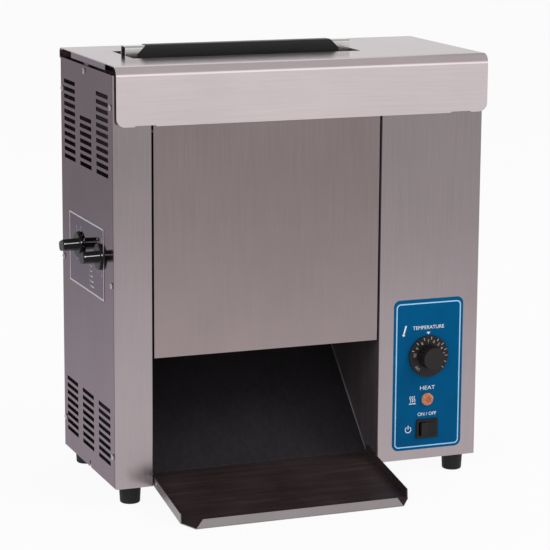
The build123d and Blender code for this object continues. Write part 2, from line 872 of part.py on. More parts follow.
def idler_shaft(y):
    """Idler roller on a shaft that ends in the frame plates."""
    low = bay_middle - frame_half - frame_plate - frame_hub_length
    return roller(y, idler_height, low, 2 * bay_middle - low)


def roller(y, z, shaft_low, shaft_high):
    half = belt_width / 2 - wire_width / 2 - wire_hook - roller_end_gap
    drum = rod_x(roller_radius, bay_middle - half, bay_middle + half, y, z)
    for index in range(roller_groove_count):
        share = (index + 0.5) / roller_groove_count
        middle = bay_middle - half + 2 * half * share
        ring = rod_x(roller_radius + overrun, middle - roller_groove_width / 2,
                     middle + roller_groove_width / 2, y, z)
        ring -= rod_x(roller_radius - roller_groove_depth, middle - roller_groove_width,
                      middle + roller_groove_width, y, z)
        drum -= ring
    return drum + rod_x(shaft_radius, shaft_low, shaft_high, y, z)


def loop_places(count):
    """Evenly spaced places around a belt's loop, from its axis, as depth and height."""
    middle_radius = belt_radius + wire_thickness / 2
    straight = drive_height - idler_height
    arc = pi * middle_radius
    places = []
    for index in range(count):
        along = index * 2 * (straight + arc) / count
        if along < straight:
            places.append((middle_radius, idler_height + along))
        elif along < straight + arc:
            angle = (along - straight) / middle_radius
            places.append((middle_radius * cos(angle), drive_height + middle_radius * sin(angle)))
        elif along < 2 * straight + arc:
            places.append((-middle_radius, drive_height - (along - straight - arc)))
        else:
            angle = (along - 2 * straight - arc) / middle_radius
            places.append((-middle_radius * cos(angle), idler_height - middle_radius * sin(angle)))
    return places


def belt_wire():
    """One flat wire of the belt, hooked at both ends to the wire ahead."""
    half = (belt_width - wire_width) / 2
    ahead = wire_pitch - wire_width - wire_hook_gap
    points = [(-half + wire_hook, ahead), (-half, ahead), (-half, 0), (half, 0), (half, ahead),
              (half - wire_hook, ahead)]
    outline = trace(Polyline(*points), line_width=wire_width)
    return Pos(0, 0, -wire_thickness / 2) * extrude(outline, amount=wire_thickness)


def wire_belt(axis_y):
    """Endless belt of hooked wires, laid wire by wire along the chords of its loop."""
    straight = drive_height - idler_height
    loop = 2 * (straight + pi * (belt_radius + wire_thickness / 2))
    count = ceil(loop / wire_pitch)
    wire = belt_wire()
    places = loop_places(count)
    wires = []
    for (y, z), (next_y, next_z) in zip(places, places[1:] + places[:1]):
        step = Vector(0, next_y - y, next_z - z).normalized()
        seat = Plane(origin=(bay_middle, axis_y + y, z), x_dir=(1, 0, 0),
                     z_dir=Vector(1, 0, 0).cross(step))
        wires.append(seat.location * wire)
    return wires


def conveyor_frame(axis_y, pin_y):
    """Welded frame: two hubbed side plates, tie rods, and the lug and pin of the cam follower."""
    half_span = frame_plate_width / 2
    low = idler_height - frame_end_height
    high = drive_height + frame_end_height
    frame = None
    for side in (-1, 1):
        inner = bay_middle + side * frame_half
        outer = inner + side * frame_plate
        x_low = min(inner, outer)
        side_plate = block(x_low, x_low + frame_plate, axis_y - half_span, axis_y + half_span,
                           low, high)
        side_plate = fillet(side_plate.edges().filter_by(Axis.X), half_span - running_gap)
        for z in (idler_height, drive_height):
            hub_end = outer + side * frame_hub_length
            side_plate += rod_x(frame_hub_radius, min(outer, hub_end), max(outer, hub_end),
                                axis_y, z)
            side_plate -= rod_x(shaft_radius + running_gap, min(inner, hub_end) - overrun,
                                max(inner, hub_end) + overrun, axis_y, z)
        frame = side_plate if frame is None else frame + side_plate
    spacing = (drive_height - idler_height) / (tie_rod_count + 1)
    for index in range(tie_rod_count):
        frame += rod_x(tie_rod_radius, bay_middle - frame_half, bay_middle + frame_half,
                       axis_y, idler_height + spacing * (index + 1))
    lug_x = bay_middle - frame_half - frame_plate
    lug_tip = pin_y + (follower_radius + slot_play) * (1 if pin_y > axis_y else -1)
    frame += block(lug_x, lug_x + frame_plate, min(axis_y, lug_tip), max(axis_y, lug_tip),
                   knob_height - follower_lug_height / 2, knob_height + follower_lug_height / 2)
    frame += rod_x(follower_radius, cam_start_x - cam_thickness, lug_x, pin_y, knob_height)
    return frame


def slider_plate(axis_y, side):
    """Backing plate that holds the belt's toasting run straight, on the frame's tie rods."""
    face = axis_y + side * (belt_radius - slider_gap)
    back = face - side * slider_flange
    low = idler_height + slider_end_gap
    high = drive_height - slider_end_gap
    middle = face - side * sheet / 2
    points = [(back, low), (middle, low), (middle, high), (back, high)]
    start = bay_middle - frame_half + seat_gap
    return bent_sheet(points, sheet, bend, Plane.YZ.offset(start), 2 * (frame_half - seat_gap))


def drive_bush(y, wall_outer, side):
    """Flanged bush in a bay wall, with its flange outside."""
    flange_end = wall_outer + side * bush_flange
    inner_end = flange_end - side * bush_length
    bush = rod_x(bush_radius, min(flange_end, inner_end), max(flange_end, inner_end),
                 y, drive_height)
    bush += rod_x(bush_flange_radius, min(wall_outer, flange_end), max(wall_outer, flange_end),
                  y, drive_height)
    return bush - rod_x(shaft_radius + running_gap, min(flange_end, inner_end) - overrun,
                        max(flange_end, inner_end) + overrun, y, drive_height)


def snail_cam(y, side):
    """Cam whose radius grows evenly over the knob's turn; it faces its pin along Y."""
    points = []
    sweep_degrees = knob_turn_degrees + cam_end_degrees
    rate = cam_lift / radians(knob_turn_degrees)
    for index in range(cam_steps + 1):
        turn = sweep_degrees * index / cam_steps
        radius = cam_base_radius + rate * radians(turn)
        points.append((radius, turn))
    points.append((cam_base_radius, 360 - cam_start_degrees))
    facing = 0 if side > 0 else 180
    outline = [(y + radius * cos(radians(facing - turn)),
                knob_height + radius * sin(radians(facing - turn))) for radius, turn in points]
    return plate(outline, Plane.YZ.offset(cam_start_x - cam_thickness), cam_thickness)


def cam_shaft(y, side):
    """Knob shaft with its cam, from the knob to the boss on the bay wall."""
    outer = -half_width - overlay_thickness - knob_gap - knob_skirt
    end = left_wall_outer - seat_gap
    return snail_cam(y, side) + rod_x(knob_shaft_radius, outer, end, y, knob_height)


def compression_knob(y):
    """Round skirt with a round-cornered, tapered bar grip, pressed on its shaft."""
    base = -half_width - overlay_thickness - knob_gap
    top = base - knob_skirt
    skirt = rod_x(knob_skirt_radius, top, base, y, knob_height)
    skirt = fillet(skirt.edges().group_by(Axis.X)[0], knob_edge_radius)
    root = base - knob_skirt / 2
    tip = top - knob_bar_height
    half = knob_bar_length / 2
    half_top = knob_bar_top_length / 2
    outline = [(root, y - half), (tip, y - half_top), (tip, y + half_top), (root, y + half)]
    bar = plate(outline, Plane.XY.offset(knob_height - knob_bar_width / 2), knob_bar_width)
    slanted = bar.edges() - bar.edges().filter_by(Axis.Y) - bar.edges().filter_by(Axis.Z)
    bar = fillet(slanted, knob_bar_corner_radius)
    bar = fillet(bar.edges().group_by(Axis.X)[0], knob_edge_radius)
    bar = bar.rotate(Axis((0, y, knob_height), (1, 0, 0)), -knob_rest_degrees)
    shaft_hole = rod_x(knob_shaft_radius + running_gap / 2, top - running_gap, base + overrun,
                       y, knob_height)
    return skirt + bar - shaft_hole


def knob_plate():
    """Thin scale plate behind both compression knobs."""
    holes = [rod_x(knob_shaft_radius + seat_gap, -half_width - overrun, -half_width + overrun,
                   y, knob_height) for y in (front_knob_y, rear_knob_y)]
    return block(-half_width - overlay_thickness, -half_width, knob_plate_front_y,
                 knob_plate_rear_y, knob_plate_bottom_height, knob_plate_top_height) - holes


def gear_outline(phase_degrees):
    """Involute tooth outline, as a closed list of points about the gear's axis."""
    pressure = radians(gear_pressure_degrees)
    base = gear_pitch_radius * cos(pressure)
    tip = gear_pitch_radius + gear_addendum_share * gear_module
    root = gear_pitch_radius - gear_dedendum_share * gear_module
    half_pitch = pi / (2 * gear_teeth) - gear_backlash / (2 * gear_pitch_radius)

    def half_angle(radius):
        lean = acos(min(base / radius, 1))
        return half_pitch + (tan(pressure) - pressure) - (tan(lean) - lean)

    flank = [(root, half_angle(base)), (base, half_angle(base)),
             (gear_pitch_radius, half_angle(gear_pitch_radius)), (tip, half_angle(tip))]
    points = []
    for tooth in range(gear_teeth):
        centre = radians(phase_degrees) + 2 * pi * tooth / gear_teeth
        rising = [(radius, centre - angle) for radius, angle in flank]
        falling = [(radius, centre + angle) for radius, angle in reversed(flank)]
        points += [(radius * cos(a), radius * sin(a)) for radius, a in rising + falling]
    return points


def spur_gear(index, bore):
    """Gear number index of the train from the front, phased to mesh with the one before."""
    y = front_axis_y + index * gear_spacing
    phase = 180 / gear_teeth if index % 2 else 0
    plane = Plane(origin=(gear_start_x, y, drive_height), x_dir=(0, 1, 0), z_dir=(1, 0, 0))
    body = plate(gear_outline(phase), plane, gear_width)
    web = gear_web_radius_share * gear_pitch_radius
    recess_start = gear_start_x + gear_width - gear_web_recess
    recess = rod_x(web, recess_start, gear_start_x + gear_width + overrun, y, drive_height)
    recess -= rod_x(2 * bore, recess_start - overrun, gear_start_x + gear_width + 2 * overrun,
                    y, drive_height)
    hole = rod_x(bore, gear_start_x - overrun, gear_start_x + gear_width + overrun, y, drive_height)
    return body - recess - hole


def motor_gear():
    """Output gear with its shaft, which runs in the gearbox."""
    y = front_axis_y + gear_spacing
    shaft = rod_x(shaft_radius, gear_start_x, gearbox_start_x + gearbox_thickness / 2,
                  y, drive_height)
    return spur_gear(1, shaft_radius) + shaft


def gearmotor():
    """Gearbox on four pillars, with a drum motor on its outer face."""
    y = front_axis_y + gear_spacing
    start = gearbox_start_x
    end = start + gearbox_thickness
    box = block(start, end, y - gearbox_width / 2, y + gearbox_width / 2,
                gearbox_bottom_height, gearbox_top_height)
    box = fillet(box.edges().filter_by(Axis.X), gearbox_corner_radius)
    box -= rod_x(shaft_radius + running_gap, start - overrun,
                 start + gearbox_thickness / 2 + seat_gap, y, drive_height)
    reach = gearbox_width / 2 - pillar_inset
    for pillar_y in (y - reach, y + reach):
        for z in (gearbox_bottom_height + pillar_inset, drive_height - pillar_upper_drop):
            box += rod_x(pillar_radius, right_wall_outer + lap_gap / 4, start, pillar_y, z)
    motor = rod_x(motor_radius, end, end + motor_length, y, motor_height)
    motor = fillet(motor.edges().group_by(Axis.X)[-1], motor_band)
    motor += rod_x(motor_radius + sheet, end, end + motor_band, y, motor_height)
    motor += rod_x(motor_end_radius, end + motor_length, end + motor_length + motor_band,
                   y, motor_height)
    return box + motor


def control_overlay():
    """Thin round-cornered label plate behind the controls."""
    half = overlay_width / 2
    plate_body = block(control_x - half, control_x + half, -overlay_thickness, 0,
                       overlay_bottom_height, overlay_top_height)
    plate_body = fillet(plate_body.edges().filter_by(Axis.Y), overlay_corner_radius)
    stem_hole = rod_y(2 * stem_radius, -overrun, overrun, control_x, control_height)
    lamp_hole = rod_y(lamp_body_radius + lap_gap, -overrun, overrun, control_x, lamp_height)
    half_body = switch_body_width / 2 + lap_gap
    half_tall = switch_body_tall / 2 + lap_gap
    rocker_hole = block(control_x - half_body, control_x + half_body, -overrun, overrun,
                        rocker_height - half_tall, rocker_height + half_tall)
    return plate_body - stem_hole - lamp_hole - rocker_hole


def thermostat():
    """Thermostat body with its bush and stem, behind the control panel."""
    front = sheet
    half_w = thermostat_width / 2
    half_t = thermostat_tall / 2
    body = block(control_x - half_w, control_x + half_w, front + seat_gap, front + thermostat_deep,
                 control_height - half_t, control_height + half_t)
    body = fillet(body.edges().filter_by(Axis.Y), bend)
    body += rod_y(2 * stem_radius - lap_gap, -overlay_thickness, front + seat_gap,
                  control_x, control_height)
    body += rod_y(stem_radius, -overlay_thickness - stem_length, front, control_x, control_height)
    return body


def thermostat_knob():
    """Dial with a thin numbered skirt and a fluted, drafted hub."""
    base = -overlay_thickness - dial_gap
    skirt_top = base - dial_skirt
    skirt = rod_y(dial_radius, skirt_top, base, control_x, control_height)
    skirt = fillet(skirt.edges().group_by(Axis.Y)[0], dial_skirt / 3)
    shrink = dial_hub_height * tan(radians(dial_draft_degrees))
    hub = Pos(control_x, skirt_top - dial_hub_height / 2, control_height) * Rot(90, 0, 0)
    hub = hub * Cone(dial_hub_radius, dial_hub_radius - shrink, dial_hub_height)
    flutes = []
    for index in range(dial_flutes):
        angle = 2 * pi * (index + 0.5) / dial_flutes
        flutes.append(rod_y(dial_flute_radius, skirt_top - dial_hub_height - overrun, skirt_top,
                            control_x + dial_hub_radius * cos(angle),
                            control_height + dial_hub_radius * sin(angle)))
    bore = rod_y(stem_radius + running_gap, -overlay_thickness - stem_length - seat_gap,
                 overrun, control_x, control_height)
    return skirt + (hub - flutes) - bore


def pilot_lamp():
    """Lamp with a domed lens and a plain rim."""
    face = -overlay_thickness
    body = rod_y(lamp_body_radius, face, lamp_body_length, control_x, lamp_height)
    rim = rod_y(lamp_radius, face - lamp_rim, face, control_x, lamp_height)
    dome = rod_y(lamp_radius - lamp_rim / 2, face - lamp_dome_height, face - lamp_rim,
                 control_x, lamp_height)
    dome = fillet(dome.edges().group_by(Axis.Y)[0], (lamp_dome_height - lamp_rim) * 0.9)
    return body + rim + dome


def rocker_housing():
    """Snap-in switch housing with a raised bezel round its well."""
    face = -overlay_thickness
    bezel = block(control_x - bezel_width / 2, control_x + bezel_width / 2,
                  face - bezel_thickness, face, rocker_height - bezel_tall / 2,
                  rocker_height + bezel_tall / 2)
    bezel = fillet(bezel.edges().filter_by(Axis.Y), bezel_corner_radius)
    bezel = chamfer(bezel.edges().group_by(Axis.Y)[0], bezel_thickness / 3)
    body = block(control_x - switch_body_width / 2, control_x + switch_body_width / 2, face,
                 switch_body_deep, rocker_height - switch_body_tall / 2,
                 rocker_height + switch_body_tall / 2)
    half_w = rocker_width / 2 + rocker_gap
    half_t = rocker_tall / 2 + rocker_side_gap
    well = block(control_x - half_w, control_x + half_w, face - bezel_thickness - overrun,
                 rocker_well, rocker_height - half_t, rocker_height + half_t)
    pin_hole = rod_z(rocker_pin_radius + running_gap, rocker_height - switch_body_tall,
                     rocker_height + switch_body_tall, control_x, rocker_pivot_depth)
    return bezel + body - well - pin_hole


def power_rocker():
    """Two-sided rocker with its upright pivot pin, resting tilted in its housing."""
    face = -overlay_thickness - bezel_thickness
    pivot_y = rocker_pivot_depth
    half = rocker_width / 2
    front = face - rocker_proud + half * tan(radians(rocker_tilt_degrees))
    rear = pivot_y + 2 * running_gap + rocker_proud
    outline = [(control_x - half, rear), (control_x + half, rear),
               (control_x + half, face - rocker_proud), (control_x, front),
               (control_x - half, face - rocker_proud)]
    base = Plane.XY.offset(rocker_height - rocker_tall / 2)
    body = plate(outline, base, rocker_tall)
    body += rod_z(rocker_pin_radius, rocker_height - switch_body_tall / 2,
                  rocker_height + switch_body_tall / 2, control_x, pivot_y)
    turn = Pos(control_x, pivot_y, 0) * Rot(0, 0, rocker_tilt_degrees) * Pos(-control_x, -pivot_y, 0)
    return turn * body


def fan_housing():
    """Square fan frame with its duct, struts and bearing pin."""
    rear = rear_panel_y - lap_gap
    front = rear - fan_depth
    half = fan_size / 2
    frame = block(control_x - half, control_x + half, front, rear, fan_height - half,
                  fan_height + half)
    frame = fillet(frame.edges().filter_by(Axis.Y), fan_rotor_inset)
    frame -= rod_y(fan_duct_radius + fan_blade_gap, front - overrun, rear + overrun,
                   control_x, fan_height)
    for index in range(3):
        strut = block(0, fan_duct_radius + 2 * fan_blade_gap, front, front + fan_strut / 2,
                      -fan_strut / 2, fan_strut / 2)
        frame += Pos(control_x, 0, fan_height) * Rot(0, 90 + 120 * index, 0) * strut
    frame += rod_y(fan_hub_radius, front, front + fan_strut / 2, control_x, fan_height)
    frame += rod_y(fan_pin_radius, front, rear - fan_rotor_inset, control_x, fan_height)
    radius = screw_shank_radius + screw_clearance
    holes = [rod_y(radius, front - overrun, rear + overrun, x, z) for x, z in fan_screw_places()]
    return frame - holes


def fan_rotor():
    """Hub with twisted blades that turns on the housing's pin."""
    rear = rear_panel_y - lap_gap - fan_rotor_inset
    front = rear_panel_y - lap_gap - fan_depth + fan_strut / 2 + seat_gap
    hub = rod_y(fan_hub_radius, front, rear, control_x, fan_height)
    blade_tip = fan_duct_radius
    depth = (rear - front) / cos(radians(fan_blade_twist_degrees)) * 0.7
    rotor = hub
    for index in range(fan_blades):
        blade = block(fan_hub_radius - fan_blade_gap, blade_tip, -depth / 2, depth / 2,
                      -fan_blade_thickness / 2, fan_blade_thickness / 2)
        blade = Rot(fan_blade_twist_degrees, 0, 0) * blade
        seat = Pos(control_x, (front + rear) / 2, fan_height) * Rot(0, 360 * index / fan_blades, 0)
        rotor += seat * blade
    return rotor - rod_y(fan_pin_radius + running_gap, front - overrun, rear + overrun,
                         control_x, fan_height)


def terminal_block():
    """Terminal strip with raised barriers on the base pan."""
    low = terminal_x - terminal_length / 2
    base_height = terminal_tall / 2
    bottom = pan_top + lap_gap / 4
    strip = block(low, low + terminal_length, terminal_y, terminal_y + terminal_width,
                  bottom, bottom + base_height)
    pitch = (terminal_length - sheet) / terminal_ways
    for index in range(terminal_ways + 1):
        x = low + index * pitch
        strip += block(x, x + sheet, terminal_y, terminal_y + terminal_width, bottom,
                       bottom + terminal_tall)
    for index in range(terminal_ways):
        x = low + (index + 0.5) * pitch + sheet / 2
        strip += rod_z(terminal_screw_radius, bottom + base_height,
                       bottom + base_height + sheet, x, terminal_y + terminal_width / 2)
    return strip


def cord_gland():
    """Cord gland through the rear panel: inner nut, thread, outer nut and tapered cap."""
    x = half_width - gland_side_inset
    outer = rear_panel_y + sheet
    inner = rear_panel_y - gland_nut
    body = rod_y(gland_thread_radius, inner - sheet, outer + gland_nut, x, gland_height)
    for start in (inner, outer):
        nut = Plane(origin=(x, start + gland_nut, gland_height), x_dir=(1, 0, 0), z_dir=(0, -1, 0))
        body += extrude(nut * RegularPolygon(gland_nut_radius, 6), amount=gland_nut)
    cone = Cone(gland_nut_radius - sheet, gland_thread_radius, gland_cone)
    middle = outer + gland_nut + gland_cone / 2
    body += Pos(x, middle, gland_height) * Rot(-90, 0, 0) * cone
    return body - rod_y(gland_bore_radius, inner - overrun, outer + gland_nut + gland_cone + overrun,
                        x, gland_height)


def fan_screws():
    face = rear_panel_y + sheet
    screws = []
    for x, z in fan_screw_places():
        head = rod_y(screw_head_radius, face, face + screw_head_height, x, z)
        screws.append(head + rod_y(screw_shank_radius, face - 2 * screw_length, face, x, z))
    return screws


def pieces():
    """Every node of the part with its solids, in the cabinet's own frame."""
    made = {}
    made["base_pan"] = base_pan()
    for name, place in zip(("front_left", "front_right", "rear_left", "rear_right"), foot_places()):
        made["foot_" + name] = foot(*place)
    made["left_side_cover"] = left_side_cover()
    made["right_side_cover"] = mirrored(plain_side_cover())
    made["left_stile"] = left_stile()
    made["control_panel"] = control_panel()
    made["rear_panel"] = rear_panel()
    made["bay_left_wall"] = bay_left_wall()
    made["bay_right_wall"] = bay_right_wall()
    made["left_hood_bracket"] = hood_bracket(left_wall_outer, -1)
    made["right_hood_bracket"] = hood_bracket(right_wall_outer, 1)
    made["cover_screws_left"] = cover_screws()
    made["cover_screws_right"] = [mirrored(screw) for screw in cover_screws()]
    made["front_cover_pins"] = front_cover_pins()
    made["chute"] = chute()
    made["platen"] = platen()
    made["heating_elements"] = heating_elements()
    made["platen_cap"] = platen_cap()
    made["release_sheet"] = release_sheet()
    walls = (("left", left_wall_outer, -1), ("right", right_wall_outer, 1))
    for end, axis_y in (("front", front_axis_y), ("rear", rear_axis_y)):
        for hand, wall_x, side in walls:
            made[end + "_drive_bush_" + hand] = drive_bush(axis_y, wall_x, side)
    made["gearmotor"] = gearmotor()
    made["knob_plate"] = knob_plate()
    made["control_overlay"] = control_overlay()
    made["thermostat"] = thermostat()
    made["pilot_lamp"] = pilot_lamp()
    made["rocker_housing"] = rocker_housing()
    made["fan_housing"] = fan_housing()
    made["fan_screws"] = fan_screws()
    made["terminal_block"] = terminal_block()
    made["cord_gland"] = cord_gland()
    made["hood"] = hood()
    made["front_cover"] = front_cover()
    made["landing_tray"] = landing_tray()
    ends = (("front", front_axis_y, front_knob_y), ("rear", rear_axis_y, rear_knob_y))
    for (end, axis_y, knob_y), (pin_y, side) in zip(ends, follower_places()):
        made[end + "_conveyor_frame"] = conveyor_frame(axis_y, pin_y)
        made[end + "_slider_plate"] = slider_plate(axis_y, side)
        made[end + "_wire_belt"] = wire_belt(axis_y)
        made[end + "_drive_roller"] = drive_shaft(axis_y)
        made[end + "_idler_roller"] = idler_shaft(axis_y)
        made[end + "_cam_shaft"] = cam_shaft(knob_y, side)
        made[end + "_compression_knob"] = compression_knob(knob_y)
    made["front_drive_gear"] = spur_gear(0, shaft_radius + running_gap / 2)
    made["motor_gear"] = motor_gear()
    made["idler_gear"] = spur_gear(2, idler_stud_radius + running_gap)
    made["rear_drive_gear"] = spur_gear(3, shaft_radius + running_gap / 2)
    made["thermostat_knob"] = thermostat_knob()
    made["power_rocker"] = power_rocker()
    made["fan_rotor"] = fan_rotor()
    return made


def save_pieces():
    os.makedirs("parts", exist_ok=True)
    shift = Pos(row_shift_x, row_shift_y, 0)
    for name, shape in pieces().items():
        solids = shape if isinstance(shape, list) else shape.solids()
        moved = [shift * solid for solid in solids]
        whole = moved[0] if len(moved) == 1 else Compound(children=moved)
        export_step(whole, "parts/" + name + ".step")


save_pieces()
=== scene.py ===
import math

import bmesh
import bpy
from mathutils import Matrix, Vector


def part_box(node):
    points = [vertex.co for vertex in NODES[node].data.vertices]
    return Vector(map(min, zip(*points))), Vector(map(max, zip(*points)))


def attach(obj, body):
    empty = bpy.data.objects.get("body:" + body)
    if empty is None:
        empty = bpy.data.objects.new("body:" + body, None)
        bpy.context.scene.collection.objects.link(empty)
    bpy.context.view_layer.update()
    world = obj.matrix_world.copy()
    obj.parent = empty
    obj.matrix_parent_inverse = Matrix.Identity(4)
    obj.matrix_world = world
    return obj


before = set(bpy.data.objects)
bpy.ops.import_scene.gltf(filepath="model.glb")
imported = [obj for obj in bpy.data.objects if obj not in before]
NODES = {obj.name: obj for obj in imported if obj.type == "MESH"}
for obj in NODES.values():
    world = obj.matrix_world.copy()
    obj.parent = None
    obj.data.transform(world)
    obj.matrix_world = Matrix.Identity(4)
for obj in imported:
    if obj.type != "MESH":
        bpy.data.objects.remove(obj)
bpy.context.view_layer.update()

MM = 0.001
X, Y, Z = Vector((1, 0, 0)), Vector((0, 1, 0)), Vector((0, 0, 1))
ENDS = ("front", "rear")


def middle_of(node):
    """Middle of a node's box."""
    low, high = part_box(node)
    return (low + high) / 2


# Shader building blocks. Textures lie in object coordinates, in metres.

EVEN = (1.0, 1.0, 1.0)
GRAIN_ACROSS, GRAIN_ALONG = 620.0, 9.0
RUB_ACROSS, RUB_ALONG = 150.0, 7.0
CONVEX_FROM, CONVEX_TO = 0.5, 0.58
LENS_CELLS = 380.0


def node_tree(name):
    """A new material with its tree, its principled shader and its texture coordinates."""
    material = bpy.data.materials.new(name)
    material.use_nodes = True
    tree = material.node_tree
    shader = tree.nodes["Principled BSDF"]
    place = tree.nodes.new("ShaderNodeTexCoord")
    return material, tree, shader, place


def math_node(tree, operation, *values):
    """A value worked out from sockets or numbers."""
    node = tree.nodes.new("ShaderNodeMath")
    node.operation = operation
    for socket, value in zip(node.inputs, values):
        if isinstance(value, (int, float)):
            socket.default_value = value
        else:
            tree.links.new(value, socket)
    return node.outputs[0]


def split(tree, vector):
    """The X, Y and Z of a vector socket."""
    node = tree.nodes.new("ShaderNodeSeparateXYZ")
    tree.links.new(vector, node.inputs["Vector"])
    return node.outputs


def mix_colors(tree, factor, first, second):
    """Blend of two colours, each given as a socket or as three numbers."""
    blend = tree.nodes.new("ShaderNodeMix")
    blend.data_type = "RGBA"
    tree.links.new(factor, blend.inputs["Factor"])
    for name, color in (("A", first), ("B", second)):
        if isinstance(color, tuple):
            blend.inputs[name].default_value = (*color, 1.0)
        else:
            tree.links.new(color, blend.inputs[name])
    return blend.outputs["Result"]


def mapped(tree, place, scale):
    """Object coordinates, stretched by a scale for each axis."""
    mapping = tree.nodes.new("ShaderNodeMapping")
    mapping.inputs["Scale"].default_value = scale
    tree.links.new(place.outputs["Object"], mapping.inputs["Vector"])
    return mapping.outputs["Vector"]


def noise(tree, place, scale, size, detail=3.0, roughness=0.6):
    """Noise in object coordinates, stretched by a scale for each axis."""
    texture = tree.nodes.new("ShaderNodeTexNoise")
    texture.inputs["Scale"].default_value = size
    texture.inputs["Detail"].default_value = detail
    texture.inputs["Roughness"].default_value = roughness
    tree.links.new(mapped(tree, place, scale), texture.inputs["Vector"])
    return texture.outputs["Fac"]


def streaks_along(grain, across, along):
    """Noise scales that draw the streaks out along one axis."""
    scales = [across] * 3
    scales["XYZ".index(grain)] = along
    return scales


def ramp(tree, source, low, high, low_at=0.3, high_at=0.7):
    """Map a value onto the range from low to high, reached at low_at and high_at."""
    spread = tree.nodes.new("ShaderNodeMapRange")
    spread.inputs["From Min"].default_value = low_at
    spread.inputs["From Max"].default_value = high_at
    spread.inputs["To Min"].default_value = low
    spread.inputs["To Max"].default_value = high
    tree.links.new(source, spread.inputs["Value"])
    return spread.outputs["Result"]


def tint(tree, shader, color, *factors):
    """Base colour times the product of the given values; returns the node that scales it."""
    value = factors[0]
    for factor in factors[1:]:
        value = math_node(tree, "MULTIPLY", value, factor)
    scaled = tree.nodes.new("ShaderNodeVectorMath")
    scaled.operation = "SCALE"
    scaled.inputs[0].default_value = color
    tree.links.new(value, scaled.inputs["Scale"])
    tree.links.new(scaled.outputs["Vector"], shader.inputs["Base Color"])
    return scaled


def vary_roughness(tree, shader, source, low, high):
    """Roughness that follows a noise between two values."""
    tree.links.new(ramp(tree, source, low, high), shader.inputs["Roughness"])


def bump(tree, shader, height, strength, distance):
    """Surface relief from a height."""
    relief = tree.nodes.new("ShaderNodeBump")
    relief.inputs["Strength"].default_value = strength
    relief.inputs["Distance"].default_value = distance
    tree.links.new(height, relief.inputs["Height"])
    tree.links.new(relief.outputs["Normal"], shader.inputs["Normal"])


def edge_wear(tree, low, high):
    """A value that rises on convex edges."""
    geometry = tree.nodes.new("ShaderNodeNewGeometry")
    return ramp(tree, geometry.outputs["Pointiness"], low, high, CONVEX_FROM, CONVEX_TO)


# Kinds of material.

def brushed(name, color, roughness, grain, streak=0.09, rim=1.0):
    """Brushed sheet metal with its grain along one axis; rim dims it at grazing views."""
    material, tree, shader, place = node_tree(name)
    fine = noise(tree, place, streaks_along(grain, GRAIN_ACROSS, GRAIN_ALONG), 1.0, 6.0, 0.7)
    soft = noise(tree, place, EVEN, 9.0, 3.0, 0.5)
    tint(tree, shader, color, ramp(tree, fine, 1.0 - streak, 1.0 + streak),
         ramp(tree, soft, 0.97, 1.03))
    shader.inputs["Metallic"].default_value = 1.0
    shader.inputs["Specular Tint"].default_value = (rim, rim, rim, 1.0)
    vary_roughness(tree, shader, fine, roughness * 0.86, roughness * 1.16)
    bump(tree, shader, fine, 0.25, 0.06 * MM)
    return material


def cast(name, color, roughness, metallic=0.0, grain=900.0, relief=0.15 * MM, vary=0.12,
         gloss=0.5):
    """Cast, painted or moulded surface with a fine grain, soft clouds and worn edges."""
    material, tree, shader, place = node_tree(name)
    fine = noise(tree, place, EVEN, grain, 3.0, 0.6)
    soft = noise(tree, place, EVEN, 22.0, 3.0, 0.5)
    tint(tree, shader, color, ramp(tree, fine, 1.0 - vary, 1.0 + vary),
         ramp(tree, soft, 0.93, 1.07), edge_wear(tree, 1.0, 1.35))
    shader.inputs["Metallic"].default_value = metallic
    shader.inputs["Specular IOR Level"].default_value = gloss
    vary_roughness(tree, shader, soft, roughness * 0.86, roughness * 1.14)
    bump(tree, shader, fine, 0.4, relief)
    return material


def coated(name, color, roughness, grain, rub=1.25, stain=0.25, gloss=0.5):
    """Dark baked coating on sheet, with rub marks along one axis."""
    material, tree, shader, place = node_tree(name)
    marks = noise(tree, place, streaks_along(grain, RUB_ACROSS, RUB_ALONG), 1.0, 5.0, 0.65)
    soft = noise(tree, place, EVEN, 11.0, 4.0, 0.6)
    tint(tree, shader, color, ramp(tree, marks, 0.85, rub, 0.4, 0.75),
         ramp(tree, soft, 1.0 - stain, 1.0 + stain))
    shader.inputs["Specular IOR Level"].default_value = gloss
    vary_roughness(tree, shader, soft, roughness - 0.08, roughness + 0.1)
    bump(tree, shader, marks, 0.15, 0.2 * MM)
    return material


def woven(name, color, pitch, roughness):
    """Plain-woven glass cloth with a non-stick finish."""
    material, tree, shader, place = node_tree(name)
    checks = tree.nodes.new("ShaderNodeTexChecker")
    checks.inputs["Scale"].default_value = 1.0
    tree.links.new(mapped(tree, place, [1 / pitch] * 3), checks.inputs["Vector"])
    threads = checks.outputs["Fac"]
    soft = noise(tree, place, EVEN, 14.0, 4.0, 0.6)
    tint(tree, shader, color, ramp(tree, threads, 0.82, 1.18, 0.0, 1.0),
         ramp(tree, soft, 0.8, 1.3))
    vary_roughness(tree, shader, soft, roughness - 0.07, roughness + 0.08)
    bump(tree, shader, threads, 0.3, 0.1 * MM)
    return material


